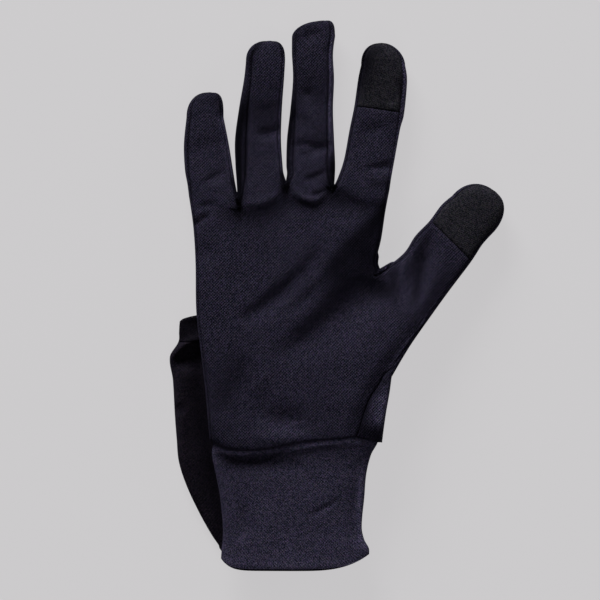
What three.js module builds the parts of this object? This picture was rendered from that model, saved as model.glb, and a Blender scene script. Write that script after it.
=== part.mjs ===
// Convertible glove for the right hand: a knit liner glove with touch tips and a fold-over mitten hood.
// It lies palm up with the hood folded back under the hand. Millimetres: +X is the thumb side,
// +Y runs to the fingertips and +Z is up, out of the palm.

import * as THREE from 'three';

// Driving dimensions
const cloth = 1.1; // wall of the glove and of the hood
const hemWall = 1.9; // folded hem of the hood
const cuffWall = 2.6; // cuff, two layers of rib with a fold at the mouth
const seamGap = 0.4; // between two pieces along a seam
const crotchGap = { widest: 1.5, reach: 11 }; // the seams open a little where they turn round a crotch
const layerGap = 0.3; // between the glove and what it lies on
const sideSeam = 1; // from the side edge of the hand to the nearest seam
// From each finger crotch down to the seam below it
const webBelow = {
  front: [new THREE.Vector2(1.2, -8.4), new THREE.Vector2(0.2, -6.4), new THREE.Vector2(-0.8, -3.4)],
  back: [new THREE.Vector2(0, -2.3), new THREE.Vector2(0, -2.3), new THREE.Vector2(0, -2.3)],
};
const thumbWeb = { x: 2.07, y: 1.38 }; // from the thumb's crotch in to the palm's seam
const loftSlope = 1.41; // how steeply the filled glove rises from its edge
const loftLimit = 26; // larger values let the wide palm rise higher
const thumbRest = { height: 7.1, reached: 0.9 }; // the thumb's side edge sinks to it over this share

// Mesh steps
const mainColumns = 6;
const stripColumns = 2;
const fingerRows = 7;
const tipRows = 4;
const baseCrowding = 1.35; // rows of a finger stand closer together near its base
const seamCrowding = 0.6; // columns of a panel stand closer together near its seams
const edgeCrowding = 1.5; // columns of a side strip stand closer together near the edge
const wristSteps = 200;
const solver = { steps: 600, rest: 1e-8, leastArea: 1e-9 };
const palmRows = { aboveThumb: 5, besideThumb: mainColumns, belowThumb: 6 };
const cuffSteps = { around: 14, along: 6 };
const hoodSteps = { across: 12, tip: 4 };

const table = (columns, rows) => {
  const names = columns.split(' ');
  return rows.map((row) => Object.fromEntries(names.map((name, i) => [name, row[i]])));
};

// Crotches between the fingers and beside the thumb
const crotch = {
  littleRing: new THREE.Vector2(-46.8, 47.2),
  ringMiddle: new THREE.Vector2(-24.0, 53.6),
  middleIndex: new THREE.Vector2(-1.4, 51.2),
  thumb: new THREE.Vector2(19.7, 10.6),
};

// Each finger is read across at a few places from its base to where the tip starts to round.
// leftSeam and rightSeam run in from the edges on the palm side. The first row is the base.
const sectionColumns = 'leftX leftY rightX rightY leftSeam rightSeam';
const fingers = {
  little: {
    tip: { x: -60.2, y: 95.2, leftPower: 2.2, rightPower: 3.5 },
    sections: table(sectionColumns, [
      [-69.4, 46.0, -46.8, 47.2, 1.0, 1.0],
      [-70.2, 52.0, -47.9, 53.0, 1.2, 1.0],
      [-71.4, 59.0, -48.9, 59.0, 1.5, 1.0],
      [-71.9, 70.7, -50.8, 70.7, 1.9, 1.0],
      [-70.7, 83.4, -53.3, 83.4, 1.9, 1.0],
    ]),
  },
  ring: {
    tip: { x: -32.0, y: 119.4, leftPower: 2.3, rightPower: 3 },
    sections: table(sectionColumns, [
      [-46.8, 47.2, -24.0, 53.6, 3.0, 1.0],
      [-47.1, 53.0, -25.1, 57.0, 4.0, 1.0],
      [-47.7, 61.3, -25.6, 61.3, 4.8, 1.0],
      [-47.9, 73.1, -26.3, 73.1, 5.2, 1.2],
      [-46.1, 87.2, -25.9, 87.2, 4.3, 1.2],
      [-43.7, 101.3, -24.9, 101.3, 3.3, 1.0],
      [-42.8, 109.7, -24.4, 109.7, 2.6, 1.0],
    ]),
  },
  middle: {
    tip: { x: -7.0, y: 128.9, leftPower: 2, rightPower: 4 },
    sections: table(sectionColumns, [
      [-24.0, 53.6, -1.4, 51.2, 2.4, 2.4],
      [-23.5, 57.0, -1.1, 55.0, 2.8, 3.2],
      [-23.8, 61.3, -0.9, 61.3, 3.0, 3.6],
      [-23.5, 73.1, -1.4, 73.1, 3.2, 3.0],
      [-21.9, 87.2, -1.9, 87.2, 2.2, 2.4],
      [-20.7, 101.3, -1.4, 101.3, 1.2, 2.4],
      [-21.2, 113.0, -1.9, 113.0, 1.4, 2.0],
      [-21.2, 120.6, -0.9, 121.5, 1.6, 1.8],
    ]),
  },
  index: {
    tip: { x: 21.2, y: 118.4, leftPower: 2.4, rightPower: 1.8 },
    touchFrom: 4,
    sections: table(sectionColumns, [
      [-1.4, 51.2, 24.6, 49.6, 1.5, 1.0],
      [0.4, 55.0, 25.4, 55.0, 1.2, 1.0],
      [3.3, 63.7, 27.0, 63.7, 1.0, 1.0],
      [5.9, 77.8, 29.6, 77.8, 1.0, 1.3],
      [8.1, 88.6, 31.5, 85.1, 1.0, 2.2],
      [9.9, 101.3, 32.9, 100.3, 1.0, 2.0],
      [11.3, 107.9, 32.0, 107.9, 1.0, 1.4],
    ]),
  },
  thumb: {
    tip: { x: 74.7, y: 48.2, leftPower: 2.2, rightPower: 2.2 },
    touchFrom: 4,
    sections: table(sectionColumns, [
      [19.7, 10.6, 25.4, -38.3, 1.0, 4.0],
      [26.3, 15.3, 33.8, -24.2, 1.0, 1.8],
      [32.0, 20.4, 43.7, -10.1, 1.0, 1.5],
      [36.7, 27.7, 52.6, 2.1, 1.0, 1.4],
      [43.3, 34.6, 62.7, 15.4, 1.0, 1.2],
      [48.9, 42.1, 68.2, 23.7, 1.0, 1.0],
      [54.0, 46.5, 73.8, 29.8, 1.0, 1.0],
    ]),
  },
};
const fingerOrder = ['little', 'ring', 'middle', 'index'];

// Sides of the hand below the fingers
const point = (x, y) => new THREE.Vector2(x, y);
const littleSide = [point(-69.4, 46.0), point(-67.4, 32.2), point(-66.3, 15.3), point(-65.9, -7.3),
  point(-63.9, -25.6), point(-61.6, -44.4), point(-60.2, -60.9), point(-59.5, -67.9)];
const indexSide = [point(24.6, 49.6), point(22.6, 39.2), point(20.7, 26.6), point(18.3, 15.7), crotch.thumb];
const wristSide = [point(25.4, -38.3), point(24.4, -45.8), point(22.8, -54.8), point(21.6, -63.2),
  point(20.9, -68.9)];
const wristWrap = [point(22.6, -35.5), point(18.8, -42.1), point(15.0, -48.2), point(11.8, -56.2),
  point(8.9, -66.3)];
const wristLine = [point(-59.5, -67.9), point(-52.2, -71.9), point(-41.8, -72.6), point(-30.6, -71.7),
  point(-15.5, -68.4), point(1.4, -67.0), point(8.9, -66.3), point(15.5, -68.7), point(20.9, -68.9)];

// Height of the side edge of the hand, from the wrist to the fingertips
const sideHeights = table('y z', [[-75, 15.4], [-66, 15.4], [-50, 14.8], [-20, 13.2], [8, 11.6],
  [30, 10.2], [50, 9.0], [70, 7.0], [90, 6.1], [132, 5.9]]);

// How the wrist edge closes in on the cuff. The body starts to narrow at one place and does so over a length.
const wristPuff = { reach: 9, clearance: 1.55, loft: 1.03, from: -30, over: 35, below: -50 };

// The back of the hand keeps clear of the hood below this place, after a short ramp
const underHand = { clearFrom: 15, ramp: 5, round: 0.8 };

// Folds of the palm side: ridges have a positive height and valleys a negative one
const folds = [
  { points: [point(-43.7, -8.2), point(-28.7, 2.6), point(-9.4, 19.5)], width: 3.6, height: -1.0 },
  { points: [point(-17, -22.2), point(-9, -15.6), point(-1.3, -8.6)], width: 6, height: -2.6 },
  { points: [point(6.5, -2.2), point(17, 3)], width: 9, height: -4.4 },
  { points: [point(32.4, 13.9), point(28.2, -0.2)], width: 3, height: 0.9 },
  { points: [point(44.6, 24), point(41, 8)], width: 4.6, height: -2.4 },
  { points: [point(-54, -48), point(-42, -49)], width: 7, height: -1.6 },
  { points: [point(-26.8, -60), point(-17.4, -64)], width: 6, height: 1.0 },
  { points: [point(-16, 54.3), point(-6.6, 57.6)], width: 2, height: -0.8 },
  { points: [point(-68, 36), point(-60, 41)], width: 2.4, height: -0.7 },
];
const foldFade = 3; // folds die out where the cloth rises less than this above the side edge
const leastRise = 0.3; // share of the rise that a fold leaves

// Cuff, read across from its hidden top inside the wrist to the fold at its mouth
const cuffSections = table('y left right low high', [
  [-61.5, -57.8, 18.9, 10.0, 20.8],
  [-68.5, -57.8, 18.9, 10.0, 20.8],
  [-74.5, -58.5, 15.8, 9.6, 20.6],
  [-83.5, -56.8, 13.6, 8.0, 19.9],
  [-94.3, -54.8, 12.7, 6.6, 18.8],
  [-108.6, -53.5, 11.5, 5.2, 17.4],
  [-114.6, -53.6, 12.7, 4.6, 17.0],
  [-119.3, -54.1, 15.0, 4.2, 16.7],
  [-128.9, -54.8, 13.6, 3.7, 16.4],
]);
const cuffShape = 2.4; // 2 is an ellipse, more is squarer
const cuffCorners = { left: { rise: 5, power: 9 }, right: { rise: 7, power: 3.7 } };

// Mitten hood: a pocket sewn to the back of the hand, with its rounded end behind the cuff
const hoodSections = table('y left right', [
  [4.5, -72, 14],
  [-2, -72.8, 15],
  [-9.2, -74.0, 16],
  [-15.5, -74.3, 17],
  [-22, -74.6, 18],
  [-29, -78.6, 18],
  [-40, -77.2, 17.5],
  [-56, -76.3, 16],
  [-68, -75.4, 14],
  [-78.5, -74.4, 12.5],
  [-90, -70.7, 10],
  [-103, -64.6, 4.4],
  [-113, -59.0, -1.6],
  [-118, -55.6, -6],
]);
const hoodTip = { x: -30, y: -126.6, power: 2 };
const hoodHeights = table('y z', [[10, 8], [-66, 8], [-90, 6.1], [-127, 3.1]]);
const hoodShape = 3;
const hoodFlat = 1.16; // swells the pocket past flat, so that it lies flat on the ground and under the hand
const hoodMouth = { rows: [2, 4], dip: 3.8, dipPower: 4 }; // the hem's rows and how far its ends drop
const flapColumns = [3, 9]; // the columns of the upper layer that reach the hand

// Small helpers
const clamp = (value, low, high) => Math.min(high, Math.max(low, value));
const mix = (a, b, t) => a + (b - a) * t;
const smooth = (t) => {
  const c = clamp(t, 0, 1);
  return c * c * (3 - 2 * c);
};
const superRound = (t, power) => Math.pow(Math.max(0, 1 - Math.pow(Math.abs(t), power)), 1 / power);

// The larger of two heights, with the corner between them rounded over the given reach
const softMax = (a, b, reach) => {
  const corner = Math.max(reach - Math.abs(a - b), 0) / reach;
  return Math.max(a, b) + corner * corner * reach * 0.25;
};

// Reads one column of a table at a place along another, smoothly
function read(rows, key, at, column) {
  const rising = rows[rows.length - 1][key] > rows[0][key];
  const order = rising ? rows : [...rows].reverse();
  let i = order.findIndex((row) => row[key] >= at);
  if (i < 0) i = order.length - 1;
  i = clamp(i, 1, order.length - 1);
  const before = order[i - 1];
  const after = order[i];
  const t = clamp((at - before[key]) / (after[key] - before[key]), 0, 1);
  const slope = (k) => {
    const a = order[clamp(k - 1, 0, order.length - 1)];
    const b = order[clamp(k + 1, 0, order.length - 1)];
    return (b[column] - a[column]) / (b[key] - a[key]);
  };
  const span = after[key] - before[key];
  const t2 = t * t;
  const t3 = t2 * t;
  return (2 * t3 - 3 * t2 + 1) * before[column] + (t3 - 2 * t2 + t) * span * slope(i - 1)
    + (3 * t2 - 2 * t3) * after[column] + (t3 - t2) * span * slope(i);
}

// Points spaced evenly along a smooth curve
const along = (points, steps) => new THREE.SplineCurve(points).getSpacedPoints(steps);

// Places across a panel, closer together near its seams
const across = (count) => Array.from({ length: count + 1 }, (_, i) => {
  const even = i / count;
  return mix(even, (1 - Math.cos(Math.PI * even)) / 2, seamCrowding);
});

const stripPlaces = Array.from({ length: stripColumns + 1 },
  (_, i) => Math.pow(i / stripColumns, edgeCrowding));
const lerpPoint = (a, b, t) => point(mix(a.x, b.x, t), mix(a.y, b.y, t));

const sideHeight = (y) => read(sideHeights, 'y', y, 'z');
const hoodTop = (y) => read(hoodHeights, 'y', y, 'z');

// Four marks across a finger: its left edge, its two seams and its right edge
function marks(section, side) {
  const left = point(section.leftX, section.leftY);
  const right = point(section.rightX, section.rightY);
  const width = left.distanceTo(right);
  const leftSeam = side === 'front' ? section.leftSeam : sideSeam;
  const rightSeam = side === 'front' ? section.rightSeam : sideSeam;
  return [left, lerpPoint(left, right, leftSeam / width), lerpPoint(right, left, rightSeam / width), right];
}

// The palm's seam passes below each crotch, so that the side strips turn round it
function baseMarks(name, side) {
  const row = marks(fingers[name].sections[0], side);
  const at = fingerOrder.indexOf(name);
  const webs = webBelow[side];
  if (at > 0) row[1] = row[0].clone().add(webs[at - 1]);
  if (at >= 0 && at < webs.length) row[2] = row[3].clone().add(webs[at]);
  if (name === 'thumb') row[1] = point(row[0].x - thumbWeb.x, row[0].y - thumbWeb.y);
  return row;
}

// Rows of marks from the base of a finger to the ring before its tip
function fingerMarks(name, side) {
  const { sections, tip } = fingers[name];
  const rows = [baseMarks(name, side), ...sections.slice(1).map((section) => marks(section, side))];
  const curves = [0, 1, 2, 3].map((k) => new THREE.SplineCurve(rows.map((row) => row[k])));
  const body = [];
  for (let i = 0; i <= fingerRows; i += 1) {
    const t = Math.pow(i / fingerRows, baseCrowding);
    body.push(curves.map((curve) => curve.getPoint(t)));
  }
  const [left, leftSeam, rightSeam, right] = body[fingerRows];
  const end = point(tip.x, tip.y);
  const chord = right.clone().sub(left);
  const foot = lerpPoint(left, right, end.clone().sub(left).dot(chord) / chord.lengthSq());
  const reach = end.clone().sub(foot);
  for (let i = 1; i < tipRows; i += 1) {
    const t = Math.sin((Math.PI / 2) * (i / tipRows));
    const shrink = (mark, power) => mark.clone().sub(foot).multiplyScalar(superRound(t, power))
      .add(foot).addScaledVector(reach, t);
    body.push([shrink(left, tip.leftPower), shrink(leftSeam, tip.leftPower),
      shrink(rightSeam, tip.rightPower), shrink(right, tip.rightPower)]);
  }
  return { rows: body, end };
}

// One side of the glove as a flat mesh that knows which piece each triangle belongs to
class Sheet {
  constructor(side) {
    this.side = side;
    this.points = [];
    this.faces = [];
    this.index = new Map();
  }

  add(at, rest, onEdge) {
    const key = `${Math.round(at.x * 1000)},${Math.round(at.y * 1000)}`;
    if (!this.index.has(key)) {
      this.index.set(key, this.points.length);
      this.points.push({ x: at.x, y: at.y, rest, onEdge });
    }
    return this.index.get(key);
  }

  quad(a, b, c, d, piece) {
    this.triangle(a, b, c, piece);
    this.triangle(a, c, d, piece);
  }

  triangle(a, b, c, piece) {
    if (a !== b && b !== c && a !== c) this.faces.push({ corners: [a, b, c], piece });
  }
}

// Points of one row of a finger, from its left edge to its right edge
function spread(row) {
  const [left, leftSeam, rightSeam, right] = row;
  const places = across(mainColumns);
  return [
    ...stripPlaces.slice(0, -1).map((t) => lerpPoint(left, leftSeam, t)),
    ...places.map((t) => lerpPoint(leftSeam, rightSeam, t)),
    ...stripPlaces.slice(0, -1).reverse().map((t) => lerpPoint(right, rightSeam, t)),
  ];
}

const sidePieces = {
  little: ['back_panel', 'fourchette_little_ring'],
  ring: ['fourchette_little_ring', 'fourchette_ring_middle'],
  middle: ['fourchette_ring_middle', 'fourchette_middle_index'],
  index: ['fourchette_middle_index', 'back_panel'],
  thumb: ['back_panel', 'back_panel'],
};

// The piece that covers one cell of a finger
function fingerPiece(name, side, row, column, touchRow) {
  const lastColumn = mainColumns + 2 * stripColumns;
  const strip = column < stripColumns ? 0 : column >= lastColumn - stripColumns ? 1 : -1;
  const sidePiece = strip < 0 ? null : sidePieces[name][strip];
  if (sidePiece && (sidePiece === 'back_panel' || row < fingerRows)) return sidePiece;
  if (side === 'back') return 'back_panel';
  return row >= touchRow ? `${name}_touch_tip` : 'palm_panel';
}

function addFinger(sheet, name) {
  const { rows, end } = fingerMarks(name, sheet.side);
  const grid = rows.map(spread);
  const count = grid[0].length;
  const thumb = name === 'thumb';
  const drop = (i) => (thumb ? smooth(i / (rows.length - 2) / thumbRest.reached) : 0);
  const restAt = (i, at, base) => mix(sideHeight(thumb ? base.y : at.y), thumbRest.height, drop(i));
  const ids = grid.map((row, i) => row.map((at, j) => {
    const onEdge = j === 0 || j === count - 1;
    return sheet.add(at, restAt(i, at, grid[0][j]), onEdge);
  }));
  const { sections, touchFrom } = fingers[name];
  const touchRow = touchFrom ? Math.round((touchFrom / (sections.length - 1)) * fingerRows) : Infinity;
  for (let i = 0; i + 1 < ids.length; i += 1) {
    for (let j = 0; j + 1 < count; j += 1) {
      const piece = fingerPiece(name, sheet.side, i, j, touchRow);
      sheet.quad(ids[i][j], ids[i][j + 1], ids[i + 1][j + 1], ids[i + 1][j], piece);
    }
  }
  const last = ids[ids.length - 1];
  const pole = sheet.add(end, thumb ? thumbRest.height : sideHeight(end.y), true);
  for (let j = 0; j + 1 < count; j += 1) {
    sheet.triangle(last[j], last[j + 1], pole, fingerPiece(name, sheet.side, ids.length, j, touchRow));
  }
}

// Where the glove's body ends above the cuff
const wristCurve = along(wristLine, wristSteps);
const wristY = (x) => {
  const i = clamp(wristCurve.findIndex((at) => at.x > x), 1, wristSteps);
  const [a, b] = [wristCurve[i - 1], wristCurve[i]];
  return mix(a.y, b.y, clamp((x - a.x) / (b.x - a.x), 0, 1));
};
const wristHalf = (wristCurve[wristSteps].x - wristCurve[0].x) / 2;
const wristMiddle = (wristCurve[wristSteps].x + wristCurve[0].x) / 2;

// The palm fills the space between the finger bases, the two sides and the wrist
function addPalm(sheet) {
  const bases = fingerOrder.map((name) => spread(baseMarks(name, sheet.side)));
  const main = (row) => row.slice(stripColumns, row.length - stripColumns);
  const top = bases.flatMap((row, i) => (i === 0 ? main(row) : main(row).slice(1)));
  const thumbBase = spread(baseMarks('thumb', sheet.side));
  const { aboveThumb, besideThumb, belowThumb } = palmRows;
  const rowCount = aboveThumb + besideThumb + belowThumb;

  const leftEdge = along(littleSide, rowCount);
  const left = leftEdge.map((at, i) => (i === 0 ? top[0] : point(at.x + sideSeam, at.y)));
  const upperEdge = along(indexSide, aboveThumb);
  const upper = upperEdge.map((at) => point(at.x - sideSeam, at.y));
  upper[0] = top[top.length - 1];
  upper[aboveThumb] = thumbBase[stripColumns];
  const lowerEdge = along(wristSide, belowThumb);
  const plainWrap = lowerEdge.map((at) => point(at.x - sideSeam, at.y));
  const wrap = sheet.side === 'front' ? along(wristWrap, belowThumb) : plainWrap;
  const beside = main(thumbBase);
  wrap[0] = beside[besideThumb];
  const right = [...upper.slice(0, -1), ...beside, ...wrap.slice(1)];

  const wristAt = (x) => point(x, wristY(x));
  left[rowCount] = wristAt(left[rowCount].x);
  right[rowCount] = wristAt(right[rowCount].x);
  const columnCount = top.length - 1;
  const bottom = top.map((_, j) => wristAt(mix(left[rowCount].x, right[rowCount].x, j / columnCount)));

  // Blend of the four sides
  const inside = (i, j) => {
    const u = j / columnCount;
    const v = i / rowCount;
    const blend = (axis) => {
      const sides = mix(left[i][axis], right[i][axis], u) + mix(top[j][axis], bottom[j][axis], v);
      const topCorners = mix(top[0][axis], top[columnCount][axis], u);
      const bottomCorners = mix(bottom[0][axis], bottom[columnCount][axis], u);
      return sides - mix(topCorners, bottomCorners, v);
    };
    return point(blend('x'), blend('y'));
  };
  const grid = left.map((_, i) => top.map((__, j) => {
    if (i === 0) return top[j];
    if (i === rowCount) return bottom[j];
    if (j === 0) return left[i];
    return j === columnCount ? right[i] : inside(i, j);
  }));
  const put = (at, onEdge) => sheet.add(at, sideHeight(at.y), onEdge);
  const ids = grid.map((row) => row.map((at) => put(at, false)));
  for (let i = 0; i < rowCount; i += 1) {
    for (let j = 0; j < columnCount; j += 1) {
      sheet.quad(ids[i][j], ids[i + 1][j], ids[i + 1][j + 1], ids[i][j + 1],
        sheet.side === 'front' ? 'palm_panel' : 'back_panel');
    }
  }

  // Side strips, which belong to the back of the hand
  const addStrip = (edge, seam, flip) => {
    const rows = edge.map((at, i) => stripPlaces.map((t, k) => put(lerpPoint(at, seam[i], t), k === 0)));
    for (let i = 0; i + 1 < rows.length; i += 1) {
      for (let k = 0; k < stripColumns; k += 1) {
        const cell = [rows[i][k], rows[i + 1][k], rows[i + 1][k + 1], rows[i][k + 1]];
        if (flip) cell.reverse();
        sheet.quad(...cell, 'back_panel');
      }
    }
  };
  addStrip(leftEdge, left, false);
  addStrip(upperEdge, upper, true);
  addStrip(lowerEdge, wrap, true);
}

// Height of a membrane over the sheet, held at its edge and free at the wrist, by conjugate gradients
function membrane(sheet) {
  const { points, faces } = sheet;
  const size = points.length;
  const links = points.map(() => new Map());
  const load = new Float64Array(size);
  for (const { corners } of faces) {
    for (let k = 0; k < 3; k += 1) {
      const [a, b, c] = [corners[k], corners[(k + 1) % 3], corners[(k + 2) % 3]];
      const u = point(points[a].x - points[c].x, points[a].y - points[c].y);
      const v = point(points[b].x - points[c].x, points[b].y - points[c].y);
      const area = Math.abs(u.cross(v));
      const weight = u.dot(v) / Math.max(area, solver.leastArea) / 2;
      links[a].set(b, (links[a].get(b) || 0) + weight);
      links[b].set(a, (links[b].get(a) || 0) + weight);
      load[c] += area / 6;
    }
  }
  const free = points.map((at) => !at.onEdge);
  const apply = (x) => {
    const out = new Float64Array(size);
    for (let a = 0; a < size; a += 1) {
      if (!free[a]) continue;
      for (const [b, weight] of links[a]) out[a] += weight * (x[a] - (free[b] ? x[b] : 0));
    }
    return out;
  };
  const dot = (a, b) => a.reduce((sum, value, i) => sum + value * b[i], 0);
  const height = new Float64Array(size);
  let residual = load.map((value, i) => (free[i] ? value : 0));
  let direction = Float64Array.from(residual);
  let energy = dot(residual, residual);
  for (let step = 0; step < solver.steps && energy > solver.rest; step += 1) {
    const image = apply(direction);
    const length = energy / dot(direction, image);
    for (let i = 0; i < size; i += 1) height[i] += length * direction[i];
    residual = residual.map((value, i) => value - length * image[i]);
    const next = dot(residual, residual);
    direction = direction.map((value, i) => residual[i] + (next / energy) * value);
    energy = next;
  }
  return height;
}

const rise = (value) => {
  const film = Math.max(value, 0);
  return Math.sqrt((loftSlope ** 2 * film) / (1 + film / loftLimit));
};

const foldAt = (x, y) => {
  const here = new THREE.Vector3(x, y, 0);
  const line = new THREE.Line3();
  const near = new THREE.Vector3();
  return folds.reduce((sum, fold) => {
    let distance = Infinity;
    for (let i = 0; i + 1 < fold.points.length; i += 1) {
      line.start.set(fold.points[i].x, fold.points[i].y, 0);
      line.end.set(fold.points[i + 1].x, fold.points[i + 1].y, 0);
      distance = Math.min(distance, line.closestPointToPoint(here, true, near).distanceTo(here));
    }
    return sum + fold.height * Math.exp(-((distance / fold.width) ** 2));
  }, 0);
};

// Lowest height that the back of the hand may reach: the hood under the hand, or the ground
const floorUnder = (y) => (hoodTop(y) + layerGap) * smooth((underHand.clearFrom - y) / underHand.ramp);

// Gives every point of a sheet its height
function loft(sheet) {
  const film = membrane(sheet);
  return sheet.points.map((at, i) => {
    if (at.onEdge) return new THREE.Vector3(at.x, at.y, at.rest);
    const up = sheet.side === 'front' ? 1 : -1;
    const onBody = smooth((wristPuff.from - at.y) / wristPuff.over);
    let lift = rise(film[i]) * mix(1, wristPuff.loft, onBody);
    if (up > 0) {
      const folded = lift + foldAt(at.x, at.y) * clamp(lift / foldFade, 0, 1);
      lift = Math.max(folded, lift * leastRise);
    }
    const toWrist = clamp((at.y - wristY(at.x)) / wristPuff.reach, 0, 1);
    if (at.y < wristPuff.below && toWrist < 1) {
      const half = (read(cuffSections, 'y', at.y, 'high') - read(cuffSections, 'y', at.y, 'low')) / 2;
      const rim = (half + wristPuff.clearance) * superRound((at.x - wristMiddle) / wristHalf, cuffShape);
      lift = mix(rim, Math.max(lift, rim), Math.sqrt(1 - (1 - toWrist) ** 2));
    }
    let z = at.rest + up * lift;
    if (up < 0) z = softMax(z, floorUnder(at.y), underHand.round);
    return new THREE.Vector3(at.x, at.y, z);
  });
}

// Both sides joined along the edge of the hand
function gloveShell() {
  const shell = { points: [], faces: [] };
  const index = new Map();
  for (const side of ['front', 'back']) {
    const sheet = new Sheet(side);
    addPalm(sheet);
    [...fingerOrder, 'thumb'].forEach((name) => addFinger(sheet, name));
    const ids = loft(sheet).map((at) => {
      const key = [at.x, at.y, at.z].map((value) => Math.round(value * 1000)).join(',');
      if (!index.has(key)) {
        index.set(key, shell.points.length);
        shell.points.push(at);
      }
      return index.get(key);
    });
    for (const { corners, piece } of sheet.faces) {
      const turned = corners.map((corner) => ids[corner]);
      if (side === 'back') turned.reverse();
      shell.faces.push({ corners: turned, piece });
    }
  }
  return shell;
}

const faceNormal = (points, corners) => {
  const [a, b, c] = corners.map((corner) => points[corner]);
  return b.clone().sub(a).cross(c.clone().sub(a));
};

// Outward direction at every point
function pointNormals(shell) {
  const normals = shell.points.map(() => new THREE.Vector3());
  for (const { corners } of shell.faces) {
    const normal = faceNormal(shell.points, corners).normalize();
    corners.forEach((corner, k) => {
      const a = shell.points[corners[(k + 1) % 3]].clone().sub(shell.points[corner]);
      const b = shell.points[corners[(k + 2) % 3]].clone().sub(shell.points[corner]);
      normals[corner].addScaledVector(normal, a.angleTo(b));
    });
  }
  return normals.map((normal) => normal.normalize());
}

// Inner wall at one thickness below the outer one
function innerPoints(shell, wall) {
  const normals = pointNormals(shell);
  return shell.points.map((at, i) => at.clone().addScaledVector(normals[i], -wall));
}

// Edges that only one triangle of a set uses
function rimEdges(faces) {
  const uses = new Map();
  for (const face of faces) {
    for (let k = 0; k < 3; k += 1) {
      const a = face.corners[k];
      const b = face.corners[(k + 1) % 3];
      const key = a < b ? `${a},${b}` : `${b},${a}`;
      uses.set(key, uses.has(key) ? null : { a, b, face });
    }
  }
  return [...uses.values()].filter(Boolean);
}

// Seams are a little wider beside a crotch
const gapAt = (at) => {
  const gaps = Object.values(crotch).map((corner) => Math.hypot(at.x - corner.x, at.y - corner.y));
  const near = Math.min(...gaps);
  return mix(crotchGap.widest, seamGap, clamp(near / crotchGap.reach, 0, 1));
};
const sharpestCorner = 0.4; // keeps a narrow corner from being drawn back too far

// A closed wall of cloth from the triangles of one piece, drawn back by half a gap along its rim
function clothPiece(shell, inner, piece) {
  const faces = shell.faces.filter((face) => face.piece === piece);
  const rim = rimEdges(faces);
  const pull = new Map();
  for (const { a, b, face } of rim) {
    const edge = shell.points[b].clone().sub(shell.points[a]);
    const inward = faceNormal(shell.points, face.corners).normalize().cross(edge.normalize());
    for (const id of [a, b]) pull.set(id, [...(pull.get(id) || []), inward]);
  }
  const shift = (id) => {
    const sides = pull.get(id);
    if (!sides) return new THREE.Vector3();
    const sum = sides.reduce((total, side) => total.add(side), new THREE.Vector3()).normalize();
    return sum.multiplyScalar(gapAt(shell.points[id]) / 2 / Math.max(sum.dot(sides[0]), sharpestCorner));
  };
  const vertices = [];
  const order = new Map();
  for (const { corners } of faces) {
    for (const id of corners) {
      if (order.has(id)) continue;
      order.set(id, order.size);
      const move = shift(id);
      const outer = shell.points[id].clone().add(move);
      outer.z = Math.max(outer.z, 0);
      vertices.push(outer, inner[id].clone().add(move));
    }
  }
  const outside = (id) => order.get(id) * 2;
  const inside = (id) => order.get(id) * 2 + 1;
  const triangles = [];
  for (const { corners: [a, b, c] } of faces) {
    triangles.push([outside(a), outside(b), outside(c)], [inside(c), inside(b), inside(a)]);
  }
  for (const { a, b } of rim) {
    triangles.push([outside(b), outside(a), inside(a)], [outside(b), inside(a), inside(b)]);
  }
  return solid(vertices, triangles);
}

function solid(vertices, triangles) {
  const geometry = new THREE.BufferGeometry();
  const places = new THREE.Float32BufferAttribute(vertices.flatMap((at) => at.toArray()), 3);
  geometry.setAttribute('position', places);
  geometry.setIndex(triangles.flat());
  geometry.computeVertexNormals();
  return geometry;
}

// One ring of the cuff. The rows bend with the rounded corners of the mouth.
function cuffRing(t, inset, lift) {
  const { around } = cuffSteps;
  const topY = cuffSections[0].y;
  const mouthY = cuffSections[cuffSections.length - 1].y;
  const ring = [];
  for (let k = 0; k < 2 * around; k += 1) {
    const angle = (Math.PI * k) / around;
    const u = -Math.cos(angle);
    const corner = u < 0 ? cuffCorners.left : cuffCorners.right;
    const mouth = mouthY + corner.rise * Math.pow(Math.abs(u), corner.power);
    const y = mix(topY, mouth, t) + lift;
    const at = (column) => read(cuffSections, 'y', y, column);
    const halfWidth = (at('right') - at('left')) / 2 - inset;
    const halfHeight = (at('high') - at('low')) / 2 - inset;
    const x = (at('right') + at('left')) / 2 + halfWidth * u;
    const z = (at('high') + at('low')) / 2 + halfHeight * superRound(u, cuffShape) * (k <= around ? 1 : -1);
    ring.push(new THREE.Vector3(x, y, z));
  }
  return ring;
}

// The cuff is a tube whose cloth turns back inside at the mouth
function cuffGeometry() {
  const { around, along: steps } = cuffSteps;
  const rings = [];
  for (let i = 0; i < steps; i += 1) rings.push(cuffRing(i / steps, 0, 0));
  const turn = cuffWall / 2;
  for (const degrees of [0, 45, 90, 135, 180]) {
    const angle = THREE.MathUtils.degToRad(degrees);
    rings.push(cuffRing(1, turn * (1 - Math.cos(angle)), turn * (1 - Math.sin(angle))));
  }
  for (let i = steps - 1; i >= 0; i -= 1) rings.push(cuffRing(i / steps, cuffWall, 0));
  const count = 2 * around;
  const triangles = [];
  rings.forEach((_, i) => {
    const next = (i + 1) % rings.length;
    for (let k = 0; k < count; k += 1) {
      const [a, b] = [i * count + k, i * count + ((k + 1) % count)];
      const [c, d] = [next * count + ((k + 1) % count), next * count + k];
      triangles.push([a, d, c], [a, c, b]);
    }
  });
  return solid(rings.flat(), triangles);
}

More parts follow.
